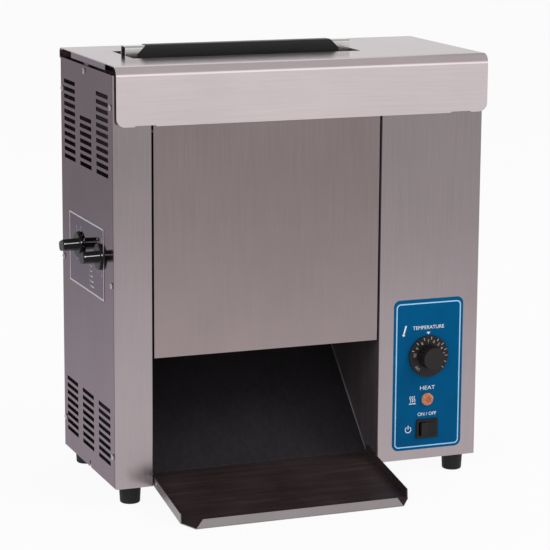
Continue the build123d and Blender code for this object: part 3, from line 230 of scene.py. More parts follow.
def lens(name, node, heart, rim, roughness, glow):
    """Tinted moulded lens of a node, deeper in its middle, with fine cells and a faint glow."""
    material, tree, shader, place = node_tree(name)
    cells = tree.nodes.new("ShaderNodeTexVoronoi")
    cells.inputs["Scale"].default_value = LENS_CELLS
    tree.links.new(place.outputs["Object"], cells.inputs["Vector"])
    facets = cells.outputs["Distance"]
    coat = tint(tree, shader, heart, ramp(tree, facets, 1.30, 0.55, 0.0, 0.7))
    low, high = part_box(node)
    radius = (high.x - low.x) / 2
    away = tree.nodes.new("ShaderNodeVectorMath")
    away.operation = "DISTANCE"
    tree.links.new(place.outputs["Object"], away.inputs[0])
    away.inputs[1].default_value = ((low.x + high.x) / 2, low.y, (low.z + high.z) / 2)
    outer = ramp(tree, away.outputs["Value"], 0.0, 1.0, radius * 0.35, radius * 0.9)
    tree.links.new(mix_colors(tree, outer, heart, rim), coat.inputs[0])
    shader.inputs["Roughness"].default_value = roughness
    shader.inputs["Emission Color"].default_value = (*heart, 1.0)
    shader.inputs["Emission Strength"].default_value = glow
    bump(tree, shader, facets, 0.3, 0.3 * MM)
    return material


# Places where a coating and bare metal meet, as masks of one and nought; the chute's mask also
# paints a highlight line along its edges, and one mask gives the bay-facing flanges the bay's
# dark colour.

def sideways(tree, place, node):
    """Distance from a node's middle plane along X, and half the node's width."""
    low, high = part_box(node)
    spot = split(tree, place.outputs["Object"])
    return math_node(tree, "SUBTRACT", spot["X"], (low.x + high.x) / 2), (high.x - low.x) / 2


def tray_bare(tree, place):
    """One on the outer faces and the rims of the tray's lip and side flanges."""
    off, half = sideways(tree, place, "landing_tray")
    facing = split(tree, place.outputs["Normal"])
    outward = math_node(tree, "MULTIPLY", off, facing["X"])
    sides = math_node(tree, "GREATER_THAN", outward, half * 0.5)
    rims = math_node(tree, "GREATER_THAN", math_node(tree, "ABSOLUTE", off), half - 0.8 * MM)
    lip = math_node(tree, "LESS_THAN", facing["Y"], -0.5)
    return math_node(tree, "MAXIMUM", math_node(tree, "MAXIMUM", sides, rims), lip)


def chute_bare(tree, place):
    """Nearly one along the chute's two long edges, less towards its foot: a bright edge that is
    partly bare metal and partly a painted highlight line.
    """
    off, half = sideways(tree, place, "chute")
    edge = math_node(tree, "GREATER_THAN", math_node(tree, "ABSOLUTE", off), half - 2.0 * MM)
    low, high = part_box("chute")
    height = split(tree, place.outputs["Object"])["Z"]
    # The bright edge, partly bare metal and partly painted highlight, fades towards the chute's
    # foot.
    worn = ramp(tree, height, 0.1, 1.0, low.z, low.z + (high.z - low.z) * 0.6)
    return math_node(tree, "MULTIPLY", edge, worn)


def bay_flanges(tree, place):
    """One on the flanges of the two front panels that look into the bay."""
    off, half = sideways(tree, place, "front_cover")
    facing = split(tree, place.outputs["Normal"])
    outward = math_node(tree, "MULTIPLY", off, facing["X"])
    inward = math_node(tree, "LESS_THAN", outward, -half * 0.5)
    near = math_node(tree, "LESS_THAN", math_node(tree, "ABSOLUTE", off), half + 4.0 * MM)
    return math_node(tree, "MULTIPLY", inward, near)


def patch(material, color, mask):
    """Give a material another colour where a mask is one; returns what the caller links."""
    tree = material.node_tree
    shader = tree.nodes["Principled BSDF"]
    covered = mask(tree, tree.nodes["Texture Coordinate"])
    plain = shader.inputs["Base Color"].links[0].from_socket
    tree.links.new(mix_colors(tree, covered, plain, color), shader.inputs["Base Color"])
    return tree, shader, covered


def bare_patch(material, color, mask):
    """Turn a coated surface to bare metal where the mask is one."""
    tree, shader, bare = patch(material, color, mask)
    tree.links.new(bare, shader.inputs["Metallic"])


def coated_patch(material, color, mask, gloss):
    """Turn bare metal to a dark non-metal colour where the mask is one."""
    tree, shader, covered = patch(material, color, mask)
    tree.links.new(math_node(tree, "SUBTRACT", 1.0, covered), shader.inputs["Metallic"])
    shader.inputs["Specular IOR Level"].default_value = gloss


# Materials.

STEEL_FRONT = brushed("steel_front", (0.395, 0.338, 0.352), 0.20, "Z", 0.05, rim=0.8)
# The door has the front steel's grain and roughness but a darker base colour: painted shade of
# the door below the hood's lip.
STEEL_DOOR_SHADED = brushed("steel_door_shaded", (0.340, 0.276, 0.282), 0.20, "Z", 0.05, rim=0.8)
# The side covers' base colour is darker than the front steel's: painted shade of faces turned
# from the light. Their lower roughness is their own smoother finish.
STEEL_SIDE_SHADED = brushed("steel_side_shaded", (0.370, 0.302, 0.346), 0.16, "Z", 0.05, rim=0.45)
# The hood's horizontal grain is its own polish; its very bright base colour is partly that
# polish and partly a painted reflection of the overhead light the grain catches.
STEEL_HOOD_WITH_SHEEN = brushed("steel_hood_with_sheen", (0.920, 0.805, 0.828), 0.17, "X", 0.028, rim=0.64)
STEEL_BRACKET = brushed("steel_bracket", (0.460, 0.385, 0.440), 0.30, "Y", 0.05, rim=0.45)
STEEL_INNER = brushed("steel_inner", (0.380, 0.375, 0.370), 0.42, "Z")
STEEL_CAP = brushed("steel_cap", (0.880, 0.855, 0.845), 0.20, "X", 0.05)
STEEL_FRAME = brushed("steel_frame", (0.400, 0.395, 0.395), 0.40, "Z")
STEEL_BELT = brushed("steel_belt", (0.480, 0.465, 0.450), 0.32, "X")
STEEL_ROLLER = brushed("steel_roller", (0.360, 0.358, 0.360), 0.30, "X")
STEEL_TURNED = brushed("steel_turned", (0.420, 0.418, 0.425), 0.28, "X")
PLATE = brushed("knob_plate_film", (0.270, 0.228, 0.285), 0.07, "Z", 0.02, rim=0.5)

STEEL_SCREW = cast("steel_screw", (0.420, 0.395, 0.400), 0.28, 1.0, 1500.0, 0.02 * MM, 0.05)
STEEL_HEATER = cast("steel_heater", (0.180, 0.165, 0.150), 0.45, 1.0, 700.0, 0.05 * MM)
ALUMINIUM = cast("platen_cast", (0.520, 0.515, 0.510), 0.45, 1.0, 650.0, 0.12 * MM, 0.08)
BRASS = cast("bush_brass", (0.560, 0.400, 0.160), 0.35, 1.0, 1200.0, 0.03 * MM, 0.06)
# Dark colour of the screws' cross recesses: painted shade of the hollow.
RECESS_SHADE = cast("screw_recess", (0.060, 0.056, 0.056), 0.55, 0.8, 1500.0, 0.02 * MM, 0.05)
MOTOR = cast("motor_paint", (0.050, 0.052, 0.056), 0.42, 0.0, 1100.0, 0.08 * MM)
FAN = cast("fan_plastic", (0.0140, 0.0140, 0.0145), 0.50, 0.0, 1300.0, 0.06 * MM)
CREAM = cast("terminal_plastic", (0.520, 0.460, 0.360), 0.50, 0.0, 1300.0, 0.05 * MM)
RUBBER = cast("foot_rubber", (0.0140, 0.0125, 0.0140), 0.62, 0.0, 700.0, 0.2 * MM,
              gloss=0.25)
KNOB = cast("knob_plastic", (0.0125, 0.0105, 0.0118), 0.34, 0.0, 1600.0, 0.05 * MM,
            gloss=0.14)
DIAL = cast("dial_plastic", (0.0200, 0.0162, 0.0165), 0.40, 0.0, 1600.0, 0.05 * MM,
            gloss=0.22)
SWITCH = cast("switch_plastic", (0.0130, 0.0115, 0.0115), 0.34, 0.0, 1800.0, 0.04 * MM,
              gloss=0.2)
BLUE = cast("overlay_film", (0.0010, 0.0840, 0.2120), 0.40, 0.0, 2400.0, 0.02 * MM, 0.03,
            gloss=0.03)
PALE_BLUE = cast("overlay_ink", (0.350, 0.610, 0.830), 0.45, 0.0, 2400.0, 0.01 * MM, 0.03,
                 gloss=0.03)
WHITE_INK = cast("white_ink", (0.780, 0.790, 0.800), 0.50, 0.0, 2400.0, 0.01 * MM, 0.04,
                 gloss=0.1)
DIAL_INK = cast("dial_ink", (0.430, 0.375, 0.365), 0.50, 0.0, 2400.0, 0.01 * MM, 0.04,
                gloss=0.1)
SILVER_INK = cast("silver_ink", (0.480, 0.430, 0.470), 0.40, 0.2, 2400.0, 0.01 * MM, 0.04)

RELEASE = woven("release_cloth", (0.0135, 0.0130, 0.0135), 0.9 * MM, 0.42)
AMBER = lens("lamp_lens", "pilot_lamp", (0.600, 0.140, 0.032), (0.860, 0.400, 0.250),
             0.16, 0.10)

BARE_TRAY = (0.312, 0.284, 0.290)
# Near-white bare metal for the chute's edges: partly bare edge, partly a painted highlight
# line.
BARE_CHUTE_AND_HIGHLIGHT = (0.900, 0.870, 0.880)
BAY_COAT = (0.0950, 0.0780, 0.0880)
BAY_GLOSS = 0.2
BAY = coated("bay_coating", BAY_COAT, 0.50, "Z", 1.15, 0.2, BAY_GLOSS)
CHUTE = coated("chute_coating", (0.0370, 0.0325, 0.0375), 0.50, "Z", 1.1, 0.12, 0.08)
TRAY = coated("tray_coating", (0.0400, 0.0275, 0.0275), 0.42, "X", 1.5, 0.25, 0.3)
bare_patch(CHUTE, BARE_CHUTE_AND_HIGHLIGHT, chute_bare)
bare_patch(TRAY, BARE_TRAY, tray_bare)
# The front panels' flanges that face into the bay take the bay walls' dark colour instead of
# bare metal.
coated_patch(STEEL_FRONT, BAY_COAT, bay_flanges, BAY_GLOSS)

LOOKS = {
    "base_pan": STEEL_INNER, "rear_panel": STEEL_FRONT,
    "foot_front_left": RUBBER, "foot_front_right": RUBBER,
    "foot_rear_left": RUBBER, "foot_rear_right": RUBBER,
    "left_side_cover": STEEL_SIDE_SHADED, "right_side_cover": STEEL_SIDE_SHADED,
    "left_stile": STEEL_FRONT, "control_panel": STEEL_FRONT, "front_cover": STEEL_DOOR_SHADED,
    "bay_left_wall": BAY, "bay_right_wall": BAY,
    "left_hood_bracket": STEEL_BRACKET, "right_hood_bracket": STEEL_BRACKET,
    "cover_screws_left": STEEL_SCREW, "cover_screws_right": STEEL_SCREW,
    "fan_screws": STEEL_SCREW, "front_cover_pins": STEEL_SCREW,
    "chute": CHUTE, "platen": ALUMINIUM, "heating_elements": STEEL_HEATER,
    "platen_cap": STEEL_CAP, "release_sheet": RELEASE, "gearmotor": MOTOR,
    "knob_plate": PLATE, "control_overlay": BLUE, "thermostat": CREAM,
    "pilot_lamp": AMBER, "rocker_housing": SWITCH, "fan_housing": FAN,
    "terminal_block": CREAM, "cord_gland": FAN, "hood": STEEL_HOOD_WITH_SHEEN,
    "landing_tray": TRAY, "motor_gear": STEEL_TURNED, "idler_gear": STEEL_TURNED,
    "thermostat_knob": DIAL, "power_rocker": SWITCH, "fan_rotor": FAN,
}
for end in ENDS:
    LOOKS[end + "_drive_bush_left"] = BRASS
    LOOKS[end + "_drive_bush_right"] = BRASS
    LOOKS[end + "_conveyor_frame"] = STEEL_FRAME
    LOOKS[end + "_slider_plate"] = STEEL_FRAME
    LOOKS[end + "_wire_belt"] = STEEL_BELT
    LOOKS[end + "_drive_roller"] = STEEL_ROLLER
    LOOKS[end + "_idler_roller"] = STEEL_ROLLER
    LOOKS[end + "_cam_shaft"] = STEEL_TURNED
    LOOKS[end + "_drive_gear"] = STEEL_TURNED
    LOOKS[end + "_compression_knob"] = KNOB

for name, look in LOOKS.items():
    slots = NODES[name].data.materials
    slots.clear()
    slots.append(look)

# Camera, fitted to the photograph.
CAMERA_PLACE = Vector((-1.15505, -2.96200, 0.94190))
RIGHT = Vector((0.93228, -0.36169, 0.00615))
UP = Vector((0.06670, 0.18857, 0.97979))
FORWARD = Vector((0.35554, 0.91303, -0.19992))
LENS, SENSOR = 151.35, 36.0

bpy.context.scene.view_settings.view_transform = "Standard"
camera_data = bpy.data.cameras.new("camera")
camera_data.lens = LENS
camera_data.sensor_width = SENSOR
camera = bpy.data.objects.new("camera", camera_data)
turn = Matrix((RIGHT, UP, -FORWARD)).transposed().to_4x4()
camera.matrix_world = Matrix.Translation(CAMERA_PLACE) @ turn
bpy.context.collection.objects.link(camera)
bpy.context.scene.camera = camera


def area_light(name, place, target, size, power):
    """A square lamp that faces a target."""
    data = bpy.data.lights.new(name, "AREA")
    data.shape = "SQUARE"
    data.size = size
    data.energy = power
    lamp = bpy.data.objects.new(name, data)
    aim = (Vector(target) - Vector(place)).to_track_quat("-Z", "Y")
    lamp.matrix_world = Matrix.Translation(place) @ aim.to_matrix().to_4x4()
    bpy.context.collection.objects.link(lamp)
    return lamp


# The key lamp would glitter in the hood's bend, so reflections leave it out.
key = area_light("key", (2.7, -1.7, 2.4), (0.0, 0.0, 0.3), 1.6, 40.0)
key.visible_glossy = False
area_light("fill", (-2.6, -1.8, 1.8), (0.0, 0.0, 0.3), 2.0, 20.0)
area_light("back", (0.6, 2.6, 2.4), (0.0, 0.0, 0.4), 2.0, 5.0)


def light_path(tree, ray):
    """One for one kind of ray."""
    return tree.nodes.new("ShaderNodeLightPath").outputs[ray]


def seen_directly(tree):
    """One for camera, glossy and transmission rays, nought for the rest."""
    mirrored = math_node(tree, "MAXIMUM", light_path(tree, "Is Camera Ray"),
                         light_path(tree, "Is Glossy Ray"))
    return math_node(tree, "MAXIMUM", mirrored, light_path(tree, "Is Transmission Ray"))


# World: an even ambient light, seen as white by the camera. Mirrors see a sky that is
# white near the horizon and dimmer overhead.
AMBIENT, OVERHEAD = 0.50, 0.42
DIM_FROM, DIM_TO = 0.13, 0.34

world = bpy.data.worlds.new("studio")
bpy.context.scene.world = world
world.use_nodes = True
world_tree = world.node_tree
background = world_tree.nodes["Background"]
background.inputs["Color"].default_value = (1.0, 1.0, 1.0, 1.0)
direction = split(world_tree, world_tree.nodes.new("ShaderNodeTexCoord").outputs["Generated"])
dimming = ramp(world_tree, direction["Z"], 1.0, OVERHEAD, DIM_FROM, DIM_TO)
sky = math_node(world_tree, "MAXIMUM", dimming, light_path(world_tree, "Is Camera Ray"))
strength = world_tree.nodes.new("ShaderNodeMix")
world_tree.links.new(seen_directly(world_tree), strength.inputs["Factor"])
strength.inputs["A"].default_value = AMBIENT
world_tree.links.new(sky, strength.inputs["B"])
world_tree.links.new(strength.outputs["Result"], background.inputs["Strength"])

# Floor: pale paper that keeps the object's shadow. The camera sees it nearly white, and
# mirrors see it fall off with the distance from the object.
FLOOR_HALF = 12.0
FLOOR_GLOW = 0.93
FAR_GLOW, NEAR_REACH, FAR_REACH = 0.60, 0.7, 2.5

floor_mesh = bpy.data.meshes.new("floor")
floor_mesh.from_pydata([(u * FLOOR_HALF, v * FLOOR_HALF, 0)
                        for u, v in ((-1, -1), (1, -1), (1, 1), (-1, 1))],
                       [], [(0, 1, 2, 3)])
floor = bpy.data.objects.new("floor", floor_mesh)
bpy.context.collection.objects.link(floor)
floor_material, floor_tree, floor_shader, floor_place = node_tree("floor_paper")
tint(floor_tree, floor_shader, (0.9, 0.9, 0.9),
     ramp(floor_tree, noise(floor_tree, floor_place, EVEN, 40.0), 0.99, 1.01))
floor_shader.inputs["Roughness"].default_value = 0.9
distance = floor_tree.nodes.new("ShaderNodeVectorMath")
distance.operation = "LENGTH"
floor_tree.links.new(floor_place.outputs["Object"], distance.inputs[0])
falling = ramp(floor_tree, distance.outputs["Value"], 1.0, FAR_GLOW, NEAR_REACH, FAR_REACH)
floor_glow = floor_tree.nodes.new("ShaderNodeEmission")
floor_glow.inputs["Color"].default_value = (1.0, 1.0, 1.0, 1.0)
floor_tree.links.new(math_node(floor_tree, "MAXIMUM",
                               light_path(floor_tree, "Is Camera Ray"), falling),
                     floor_glow.inputs["Strength"])
floor_mix = floor_tree.nodes.new("ShaderNodeMixShader")
floor_tree.links.new(ramp(floor_tree, seen_directly(floor_tree), 0.0, FLOOR_GLOW, 0.0, 1.0),
                     floor_mix.inputs["Fac"])
floor_tree.links.new(floor_shader.outputs["BSDF"], floor_mix.inputs[1])
floor_tree.links.new(floor_glow.outputs["Emission"], floor_mix.inputs[2])
floor_tree.links.new(floor_mix.outputs["Shader"],
                     floor_tree.nodes["Material Output"].inputs["Surface"])
floor_mesh.materials.append(floor_material)

# Building blocks of the printed marks, which lie on the faces in a thin layer of ink.
INK = 0.06 * MM
OVERLAY = (X, Z, -Y)
KNOB_PLATE = (-Y, Z, -X)


def mesh_piece(name, bm, material, body):
    """Finish a mesh as a piece that rides on a body."""
    mesh = bpy.data.meshes.new(name)
    bmesh.ops.recalc_face_normals(bm, faces=bm.faces)
    bm.to_mesh(mesh)
    bm.free()
    mesh.materials.append(material)
    piece = bpy.data.objects.new(name, mesh)
    bpy.context.collection.objects.link(piece)
    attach(piece, body)
    return piece


def prism(bm, outline, origin, u, v, n, depth=INK):
    """Add a flat closed outline, drawn in u and v about an origin, with a thickness along n."""
    low = [bm.verts.new(origin + u * a + v * b) for a, b in outline]
    high = [bm.verts.new(origin + u * a + v * b + n * depth) for a, b in outline]
    count = len(outline)
    bm.faces.new(low)
    bm.faces.new(high)
    for i in range(count):
        j = (i + 1) % count
        bm.faces.new((low[i], low[j], high[j], high[i]))


def ring(bm, outer, inner, origin, u, v, n, depth=INK):
    """Add a flat ring between two outlines of equally many points."""
    count = len(outer)
    layers = []
    for lift in (0.0, depth):
        layers.append([[bm.verts.new(origin + u * a + v * b + n * lift) for a, b in line]
                       for line in (outer, inner)])
    (o0, i0), (o1, i1) = layers
    for i in range(count):
        j = (i + 1) % count
        bm.faces.new((o0[i], o0[j], i0[j], i0[i]))
        bm.faces.new((o1[i], o1[j], i1[j], i1[i]))
        bm.faces.new((o0[i], o0[j], o1[j], o1[i]))
        bm.faces.new((i0[i], i0[j], i1[j], i1[i]))


def rounded(half_u, half_v, radius, steps=8):
    """Rounded rectangle about nought, as points."""
    points = []
    for cu, cv, start in ((1, 1, 0), (-1, 1, 90), (-1, -1, 180), (1, -1, 270)):
        for k in range(steps + 1):
            angle = math.radians(start + 90 * k / steps)
            points.append((cu * (half_u - radius) + radius * math.cos(angle),
                           cv * (half_v - radius) + radius * math.sin(angle)))
    return points


def disc(u, v, radius, count=12):
    """Outline of a small disc."""
    return [(u + radius * math.cos(math.tau * k / count),
             v + radius * math.sin(math.tau * k / count)) for k in range(count)]


def stroke(start, end, width):
    """A straight bar between two points."""
    a, b = Vector(start), Vector(end)
    along = (b - a).normalized()
    side = Vector((-along.y, along.x)) * (width / 2)
    return [tuple(a - side), tuple(b - side), tuple(b + side), tuple(a + side)]


def direction_at(degrees):
    """Unit vector in the plane of a mark."""
    angle = math.radians(degrees)
    return Vector((math.cos(angle), math.sin(angle)))


def text_mesh(words, size):
    """Mesh of a short text, centred on nought."""
    curve = bpy.data.curves.new("words", "FONT")
    curve.body = words
    curve.size = size
    curve.align_x = "CENTER"
    curve.align_y = "CENTER"
    curve.extrude = INK / 2
    curve.resolution_u = 3
    holder = bpy.data.objects.new("words", curve)
    mesh = bpy.data.meshes.new_from_object(holder)
    bpy.data.objects.remove(holder)
    bpy.data.curves.remove(curve)
    return mesh


def add_text(bm, words, size, origin, u, v, n, wide=1.0):
    """Add a short text in the plane of u and v."""
    mesh = text_mesh(words, size)
    place = Matrix((u * wide, v, n)).transposed().to_4x4()
    place.translation = origin + n * (INK / 2)
    mesh.transform(place)
    bm.from_mesh(mesh)
    bpy.data.meshes.remove(mesh)


# Control overlay: a thin pale line inside its edge, then the marks beside the controls.
LINE_INSET, LINE_WIDTH, LINE_DROP = 3.6 * MM, 1.7 * MM, 0.8 * MM
LINE_OUTER_RADIUS, LINE_INNER_RADIUS = 6.5 * MM, 4.8 * MM
THERMOMETER_PLACE, WAVES_PLACE, POWER_PLACE = -37.0 * MM, -23.0 * MM, -29.0 * MM
SIGN_STROKE, BAR_STROKE = 1.1 * MM, 1.2 * MM


def overlay_line():
    low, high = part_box("control_overlay")
    half_u = (high.x - low.x) / 2 - LINE_INSET
    half_v = (high.z - low.z) / 2 - LINE_INSET - LINE_DROP
    centre = Vector(((low.x + high.x) / 2, low.y, (low.z + high.z) / 2 - LINE_DROP))
    bm = bmesh.new()
    ring(bm, rounded(half_u, half_v, LINE_OUTER_RADIUS),
         rounded(half_u - LINE_WIDTH, half_v - LINE_WIDTH, LINE_INNER_RADIUS),
         centre, *OVERLAY)
    mesh_piece("overlay_line", bm, PALE_BLUE, "cabinet")


def add_thermometer(bm, origin):
    prism(bm, stroke((-1.2 * MM, -5.0 * MM), (2.2 * MM, 7.0 * MM), 2.2 * MM), origin, *OVERLAY)
    prism(bm, disc(-1.4 * MM, -6.2 * MM, 1.9 * MM), origin, *OVERLAY)


def add_heat_waves(bm, origin):
    """Three waves over a bar."""
    pitch, sway, step, foot = 3.2 * MM, 0.9 * MM, 1.5 * MM, -3.0 * MM
    for column in (-1, 0, 1):
        points = [(column * pitch + sway * math.sin(k * math.pi / 3), foot + k * step)
                  for k in range(7)]
        for a, b in zip(points, points[1:]):
            prism(bm, stroke(a, b, SIGN_STROKE), origin, *OVERLAY)
    prism(bm, stroke((-5.2 * MM, -5.2 * MM), (5.2 * MM, -5.2 * MM), BAR_STROKE),
          origin, *OVERLAY)


def add_power_sign(bm, origin):
    """A circle that is open at the top, with a bar."""
    radius, opens, sweep, steps = 4.4 * MM, 125, 290, 14
    points = [direction_at(opens + k * sweep / steps) * radius for k in range(steps + 1)]
    for a, b in zip(points, points[1:]):
        prism(bm, stroke(a, b, SIGN_STROKE), origin, *OVERLAY)
    prism(bm, stroke((0, 0.5 * MM), (0, 6.0 * MM), BAR_STROKE), origin, *OVERLAY)


def overlay_symbols():
    """The pointer over the dial, the words and a plain sign beside each control."""
    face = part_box("control_overlay")[0].y
    centre_x = middle_of("control_overlay").x
    dial_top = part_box("thermostat_knob")[1].z
    lamp_z = middle_of("pilot_lamp").z
    switch_z = middle_of("rocker_housing").z
    bm = bmesh.new()
    prism(bm, [(-3.0 * MM, 5.0 * MM), (3.0 * MM, 5.0 * MM), (0.0, 1.2 * MM)],
          Vector((centre_x, face, dial_top)), *OVERLAY)
    for words, size, height, wide in (("TEMPERATURE", 7.4 * MM, dial_top + 11.5 * MM, 1.0),
                                      ("HEAT", 8.0 * MM, lamp_z + 16.5 * MM, 1.2),
                                      ("ON / OFF", 7.0 * MM, switch_z + 21.0 * MM, 1.0)):
        add_text(bm, words, size, Vector((centre_x, face, height)), *OVERLAY, wide)
    add_thermometer(bm, Vector((centre_x + THERMOMETER_PLACE, face, dial_top + 9.0 * MM)))
    add_heat_waves(bm, Vector((centre_x + WAVES_PLACE, face, lamp_z)))
    add_power_sign(bm, Vector((centre_x + POWER_PLACE, face, switch_z)))
    mesh_piece("overlay_symbols", bm, WHITE_INK, "cabinet")


overlay_line()
overlay_symbols()

# Thermostat dial: ticks and plain numbers on its skirt, from 10 down to 1, and OFF.
DIAL_DEGREES = (173, 146, 120, 94, 71, 49, 29, 9, -10, -29)
LAST_TICK_DEGREES, OFF_DEGREES = -48, 222
TICK_OUTSIDE, TICK_INSIDE, TICK_WIDTH = 1.4 * MM, 5.4 * MM, 1.0 * MM
SKIRT_BAND = 1.5 * MM


def dial_marks():
    low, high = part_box("thermostat_knob")
    radius = (high.x - low.x) / 2
    centre = middle_of("thermostat_knob")
    skirt_face = min(vertex.co.y for vertex in NODES["thermostat_knob"].data.vertices
                     if math.hypot(vertex.co.x - centre.x, vertex.co.z - centre.z)
                     > radius - SKIRT_BAND)
    origin = Vector((centre.x, skirt_face, centre.z))
    bm = bmesh.new()

    def add_word(words, size, turn, inset, wide=1.0):
        """A word that stands upright towards the rim."""
        out = direction_at(turn)
        across = X * out.y - Z * out.x
        upright = X * out.x + Z * out.y
        add_text(bm, words, size, origin + upright * (radius - inset), across, upright, -Y,
                 wide)

    for number, turn in zip(range(10, 0, -1), DIAL_DEGREES):
        add_word(str(number), 6.4 * MM, turn, 8.0 * MM)
    for turn, after in zip(DIAL_DEGREES, (*DIAL_DEGREES[1:], LAST_TICK_DEGREES)):
        out = direction_at((turn + after) / 2)
        prism(bm, stroke(out * (radius - TICK_INSIDE), out * (radius - TICK_OUTSIDE),
                         TICK_WIDTH), origin, *OVERLAY)
    add_word("OFF", 5.6 * MM, OFF_DEGREES, 6.6 * MM, 0.9)
    mesh_piece("dial_marks", bm, DIAL_INK, "thermostat_knob")


dial_marks()

# Knob plate: a silver line round its edge, and a scale round each compression knob.
PLATE_LINE, PLATE_RADIUS = 2.2 * MM, 0.8 * MM
SCALE_START, SCALE_STEP, SCALE_TICKS = -120.0, 24.0, 11
SCALE_INNER, LONG_TICK, SHORT_TICK = 19.4 * MM, 22.0 * MM, 21.0 * MM
NUMBER_REACH, NUMBER_SIZE = 26.0 * MM, 6.0 * MM
TICK_MARGIN, NUMBER_MARGIN = 3.0 * MM, 5.0 * MM
LIST_OFFSET, LIST_TOP, LIST_STEP, LIST_SIZE = -15.0 * MM, 38.0 * MM, 7.0 * MM, 5.0 * MM


def knob_plate_line():
    low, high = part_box("knob_plate")
    half_u, half_v = (high.y - low.y) / 2, (high.z - low.z) / 2
    bm = bmesh.new()
    ring(bm, rounded(half_u, half_v, PLATE_RADIUS, 2),
         rounded(half_u - PLATE_LINE, half_v - PLATE_LINE, PLATE_RADIUS, 2),
         Vector((low.x, (low.y + high.y) / 2, (low.z + high.z) / 2)), *KNOB_PLATE)
    mesh_piece("knob_plate_line", bm, SILVER_INK, "cabinet")


def knob_scales():
    """Ticks and numbers that fit on the plate, and a numbered list of bars between them."""
    low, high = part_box("knob_plate")
    bm = bmesh.new()
    for end in ENDS:
        knob = middle_of(end + "_compression_knob")
        centre = Vector((low.x, knob.y, knob.z))
        for index in range(SCALE_TICKS):
            out = direction_at(SCALE_START + SCALE_STEP * index)
            numbered = index % 2 == 0
            outer = LONG_TICK if numbered else SHORT_TICK
            tick_y = centre.y - out.x * outer
            if low.y + TICK_MARGIN < tick_y < high.y - TICK_MARGIN:
                prism(bm, stroke(out * SCALE_INNER, out * outer, 0.9 * MM), centre, *KNOB_PLATE)
            number_y = centre.y - out.x * NUMBER_REACH
            if numbered and low.y + NUMBER_MARGIN < number_y < high.y - NUMBER_MARGIN:
                add_text(bm, str(index // 2 + 1), NUMBER_SIZE,
                         centre + (-Y * out.x + Z * out.y) * NUMBER_REACH, *KNOB_PLATE)
    list_y = (low.y + high.y) / 2 + LIST_OFFSET
    for index in range(5):
        row = Vector((low.x, list_y, low.z + LIST_TOP - LIST_STEP * index))
        add_text(bm, str(index + 1), LIST_SIZE, row, *KNOB_PLATE)
        prism(bm, stroke((5.0 * MM, 0.0), ((9.0 + 3.0 * index) * MM, 0.0), 1.6 * MM),
              row, *KNOB_PLATE)
    mesh_piece("knob_scales", bm, SILVER_INK, "cabinet")


knob_plate_line()
knob_scales()

# Compression knobs: a white line with a dot along the front end of each bar, and an arrow
# on the skirt. These sizes follow the knobs of part.py.
BAR_TURN = math.radians(18.0)
BAR_ROOT, BAR_HALF, BAR_TIP_HALF = 2.0 * MM, 16.5 * MM, 12.0 * MM
SKIRT_DEPTH, SKIRT_RADIUS, SKIRT_EDGE = 4.0 * MM, 18.0 * MM, 1.6 * MM
DOT_PLACE, DOT_RADIUS, DOT_DEPTH = 2.2 * MM, 1.1 * MM, INK * 1.4
LINE_START, LINE_GAP, ARROW_HALF, ARROW_SUNK = 2.0 * MM, 0.2 * MM, 1.6 * MM, 0.08 * MM


def knob_line(end):
    outward = Vector((0.0, -math.cos(BAR_TURN), math.sin(BAR_TURN)))
    upward = Vector((0.0, math.sin(BAR_TURN), math.cos(BAR_TURN)))
    low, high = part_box(end + "_compression_knob")
    axis = Vector((0.0, (low.y + high.y) / 2, (low.z + high.z) / 2))
    tip = axis + X * low.x + outward * BAR_TIP_HALF
    root = axis + X * (high.x - BAR_ROOT) + outward * BAR_HALF
    along = (root - tip).normalized()
    normal = along.cross(upward)
    if normal.dot(outward) < 0:
        normal = -normal
    length = (root - tip).length - (SKIRT_DEPTH - BAR_ROOT)
    bm = bmesh.new()
    prism(bm, stroke((LINE_START, 0.0), (length - LINE_GAP, 0.0), 1.0 * MM),
          tip, along, upward, normal)
    prism(bm, disc(DOT_PLACE, 0.0, DOT_RADIUS), tip, along, upward, normal, DOT_DEPTH)
    arrow_foot = axis + X * (high.x - SKIRT_DEPTH + SKIRT_EDGE) + outward * SKIRT_RADIUS
    prism(bm, [(0.0, ARROW_HALF), (SKIRT_DEPTH - SKIRT_EDGE - LINE_GAP, 0.0),
               (0.0, -ARROW_HALF)],
          arrow_foot - outward * ARROW_SUNK, X, upward, outward, ARROW_SUNK + INK)
    mesh_piece(end + "_knob_line", bm, WHITE_INK, end + "_knob")


for end in ENDS:
    knob_line(end)

# Domed rivet on the outside of the tray's left flange, near its hinged end.
RIVET_RADIUS, RIVET_RISE = 2.6 * MM, 0.8 * MM
RIVET_RINGS, RIVET_SIDES = 5, 16
RIVET_Y, RIVET_Z = -73.5 * MM, 30.0 * MM


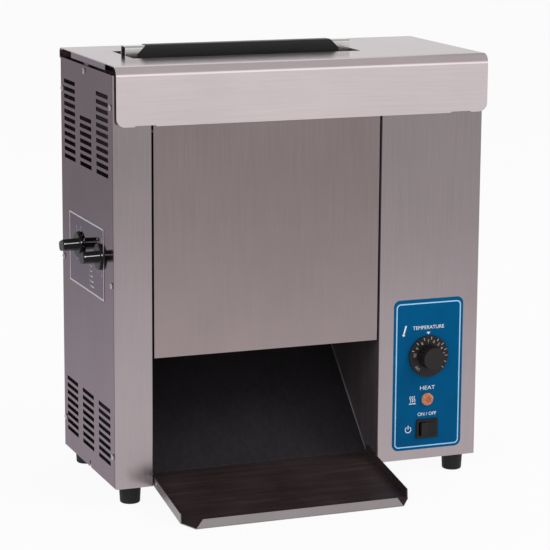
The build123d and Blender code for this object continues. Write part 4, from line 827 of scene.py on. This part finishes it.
def tray_rivet():
    foot = Vector((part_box("landing_tray")[0].x, RIVET_Y, RIVET_Z))
    bm = bmesh.new()
    layers = []
    for k in range(RIVET_RINGS):
        lean = k * math.pi / 2 / RIVET_RINGS
        top = foot - X * (RIVET_RISE * math.sin(lean))
        radius = RIVET_RADIUS * math.cos(lean)
        layers.append([bm.verts.new(top + (Y * math.cos(a) + Z * math.sin(a)) * radius)
                       for a in (math.tau * j / RIVET_SIDES for j in range(RIVET_SIDES))])
    for lower, upper in zip(layers, layers[1:]):
        for j in range(RIVET_SIDES):
            i = (j + 1) % RIVET_SIDES
            bm.faces.new((lower[j], lower[i], upper[i], upper[j]))
    bm.faces.new(layers[0])
    bm.faces.new(layers[-1])
    mesh_piece("tray_rivet", bm, STEEL_SCREW, "landing_tray")


tray_rivet()

# Painted shade of the screws' cross recesses: dark crosses just proud of their heads.
CROSS_REACH, CROSS_HALF = 2.0 * MM, 0.42 * MM
CROSS_SUNK, CROSS_DEPTH = 0.02 * MM, 0.05 * MM
CROSS_TILT = math.radians(20.0)
SAME_POINT = 1e-6


def cross(reach, half):
    """Outline of a cross with arms of a reach and half a width."""
    return [(half, half), (reach, half), (reach, -half), (half, -half), (half, -reach),
            (-half, -reach), (-half, -half), (-reach, -half), (-reach, half), (-half, half),
            (-half, reach), (half, reach)]


def islands(node):
    """The points of each separate solid of a node."""
    bm = bmesh.new()
    bm.from_mesh(NODES[node].data)
    bmesh.ops.remove_doubles(bm, verts=bm.verts, dist=SAME_POINT)
    left = set(bm.verts)
    found = []
    for first in bm.verts:
        if first not in left:
            continue
        left.remove(first)
        group, stack = [first], [first]
        while stack:
            for edge in stack.pop().link_edges:
                for other in edge.verts:
                    if other in left:
                        left.remove(other)
                        stack.append(other)
                        group.append(other)
        found.append([vertex.co.copy() for vertex in group])
    bm.free()
    return found


def screw_recesses(node, axis, side):
    """A dark cross, painted shade of the recess, on the outer end of each screw of a node,
    which points along an axis.
    """
    across = X if axis == 1 else Y
    u = across * math.cos(CROSS_TILT) + Z * math.sin(CROSS_TILT)
    v = Z * math.cos(CROSS_TILT) - across * math.sin(CROSS_TILT)
    bm = bmesh.new()
    for points in islands(node):
        low = [min(point[k] for point in points) for k in range(3)]
        high = [max(point[k] for point in points) for k in range(3)]
        place = (Vector(low) + Vector(high)) / 2
        place[axis] = (high if side > 0 else low)[axis] - side * CROSS_SUNK
        prism(bm, cross(CROSS_REACH, CROSS_HALF), place, u, v, (X, Y)[axis] * side, CROSS_DEPTH)
    mesh_piece(node + "_recess", bm, RECESS_SHADE, "cabinet")


screw_recesses("cover_screws_left", 0, -1)
screw_recesses("cover_screws_right", 0, 1)
screw_recesses("fan_screws", 1, 1)
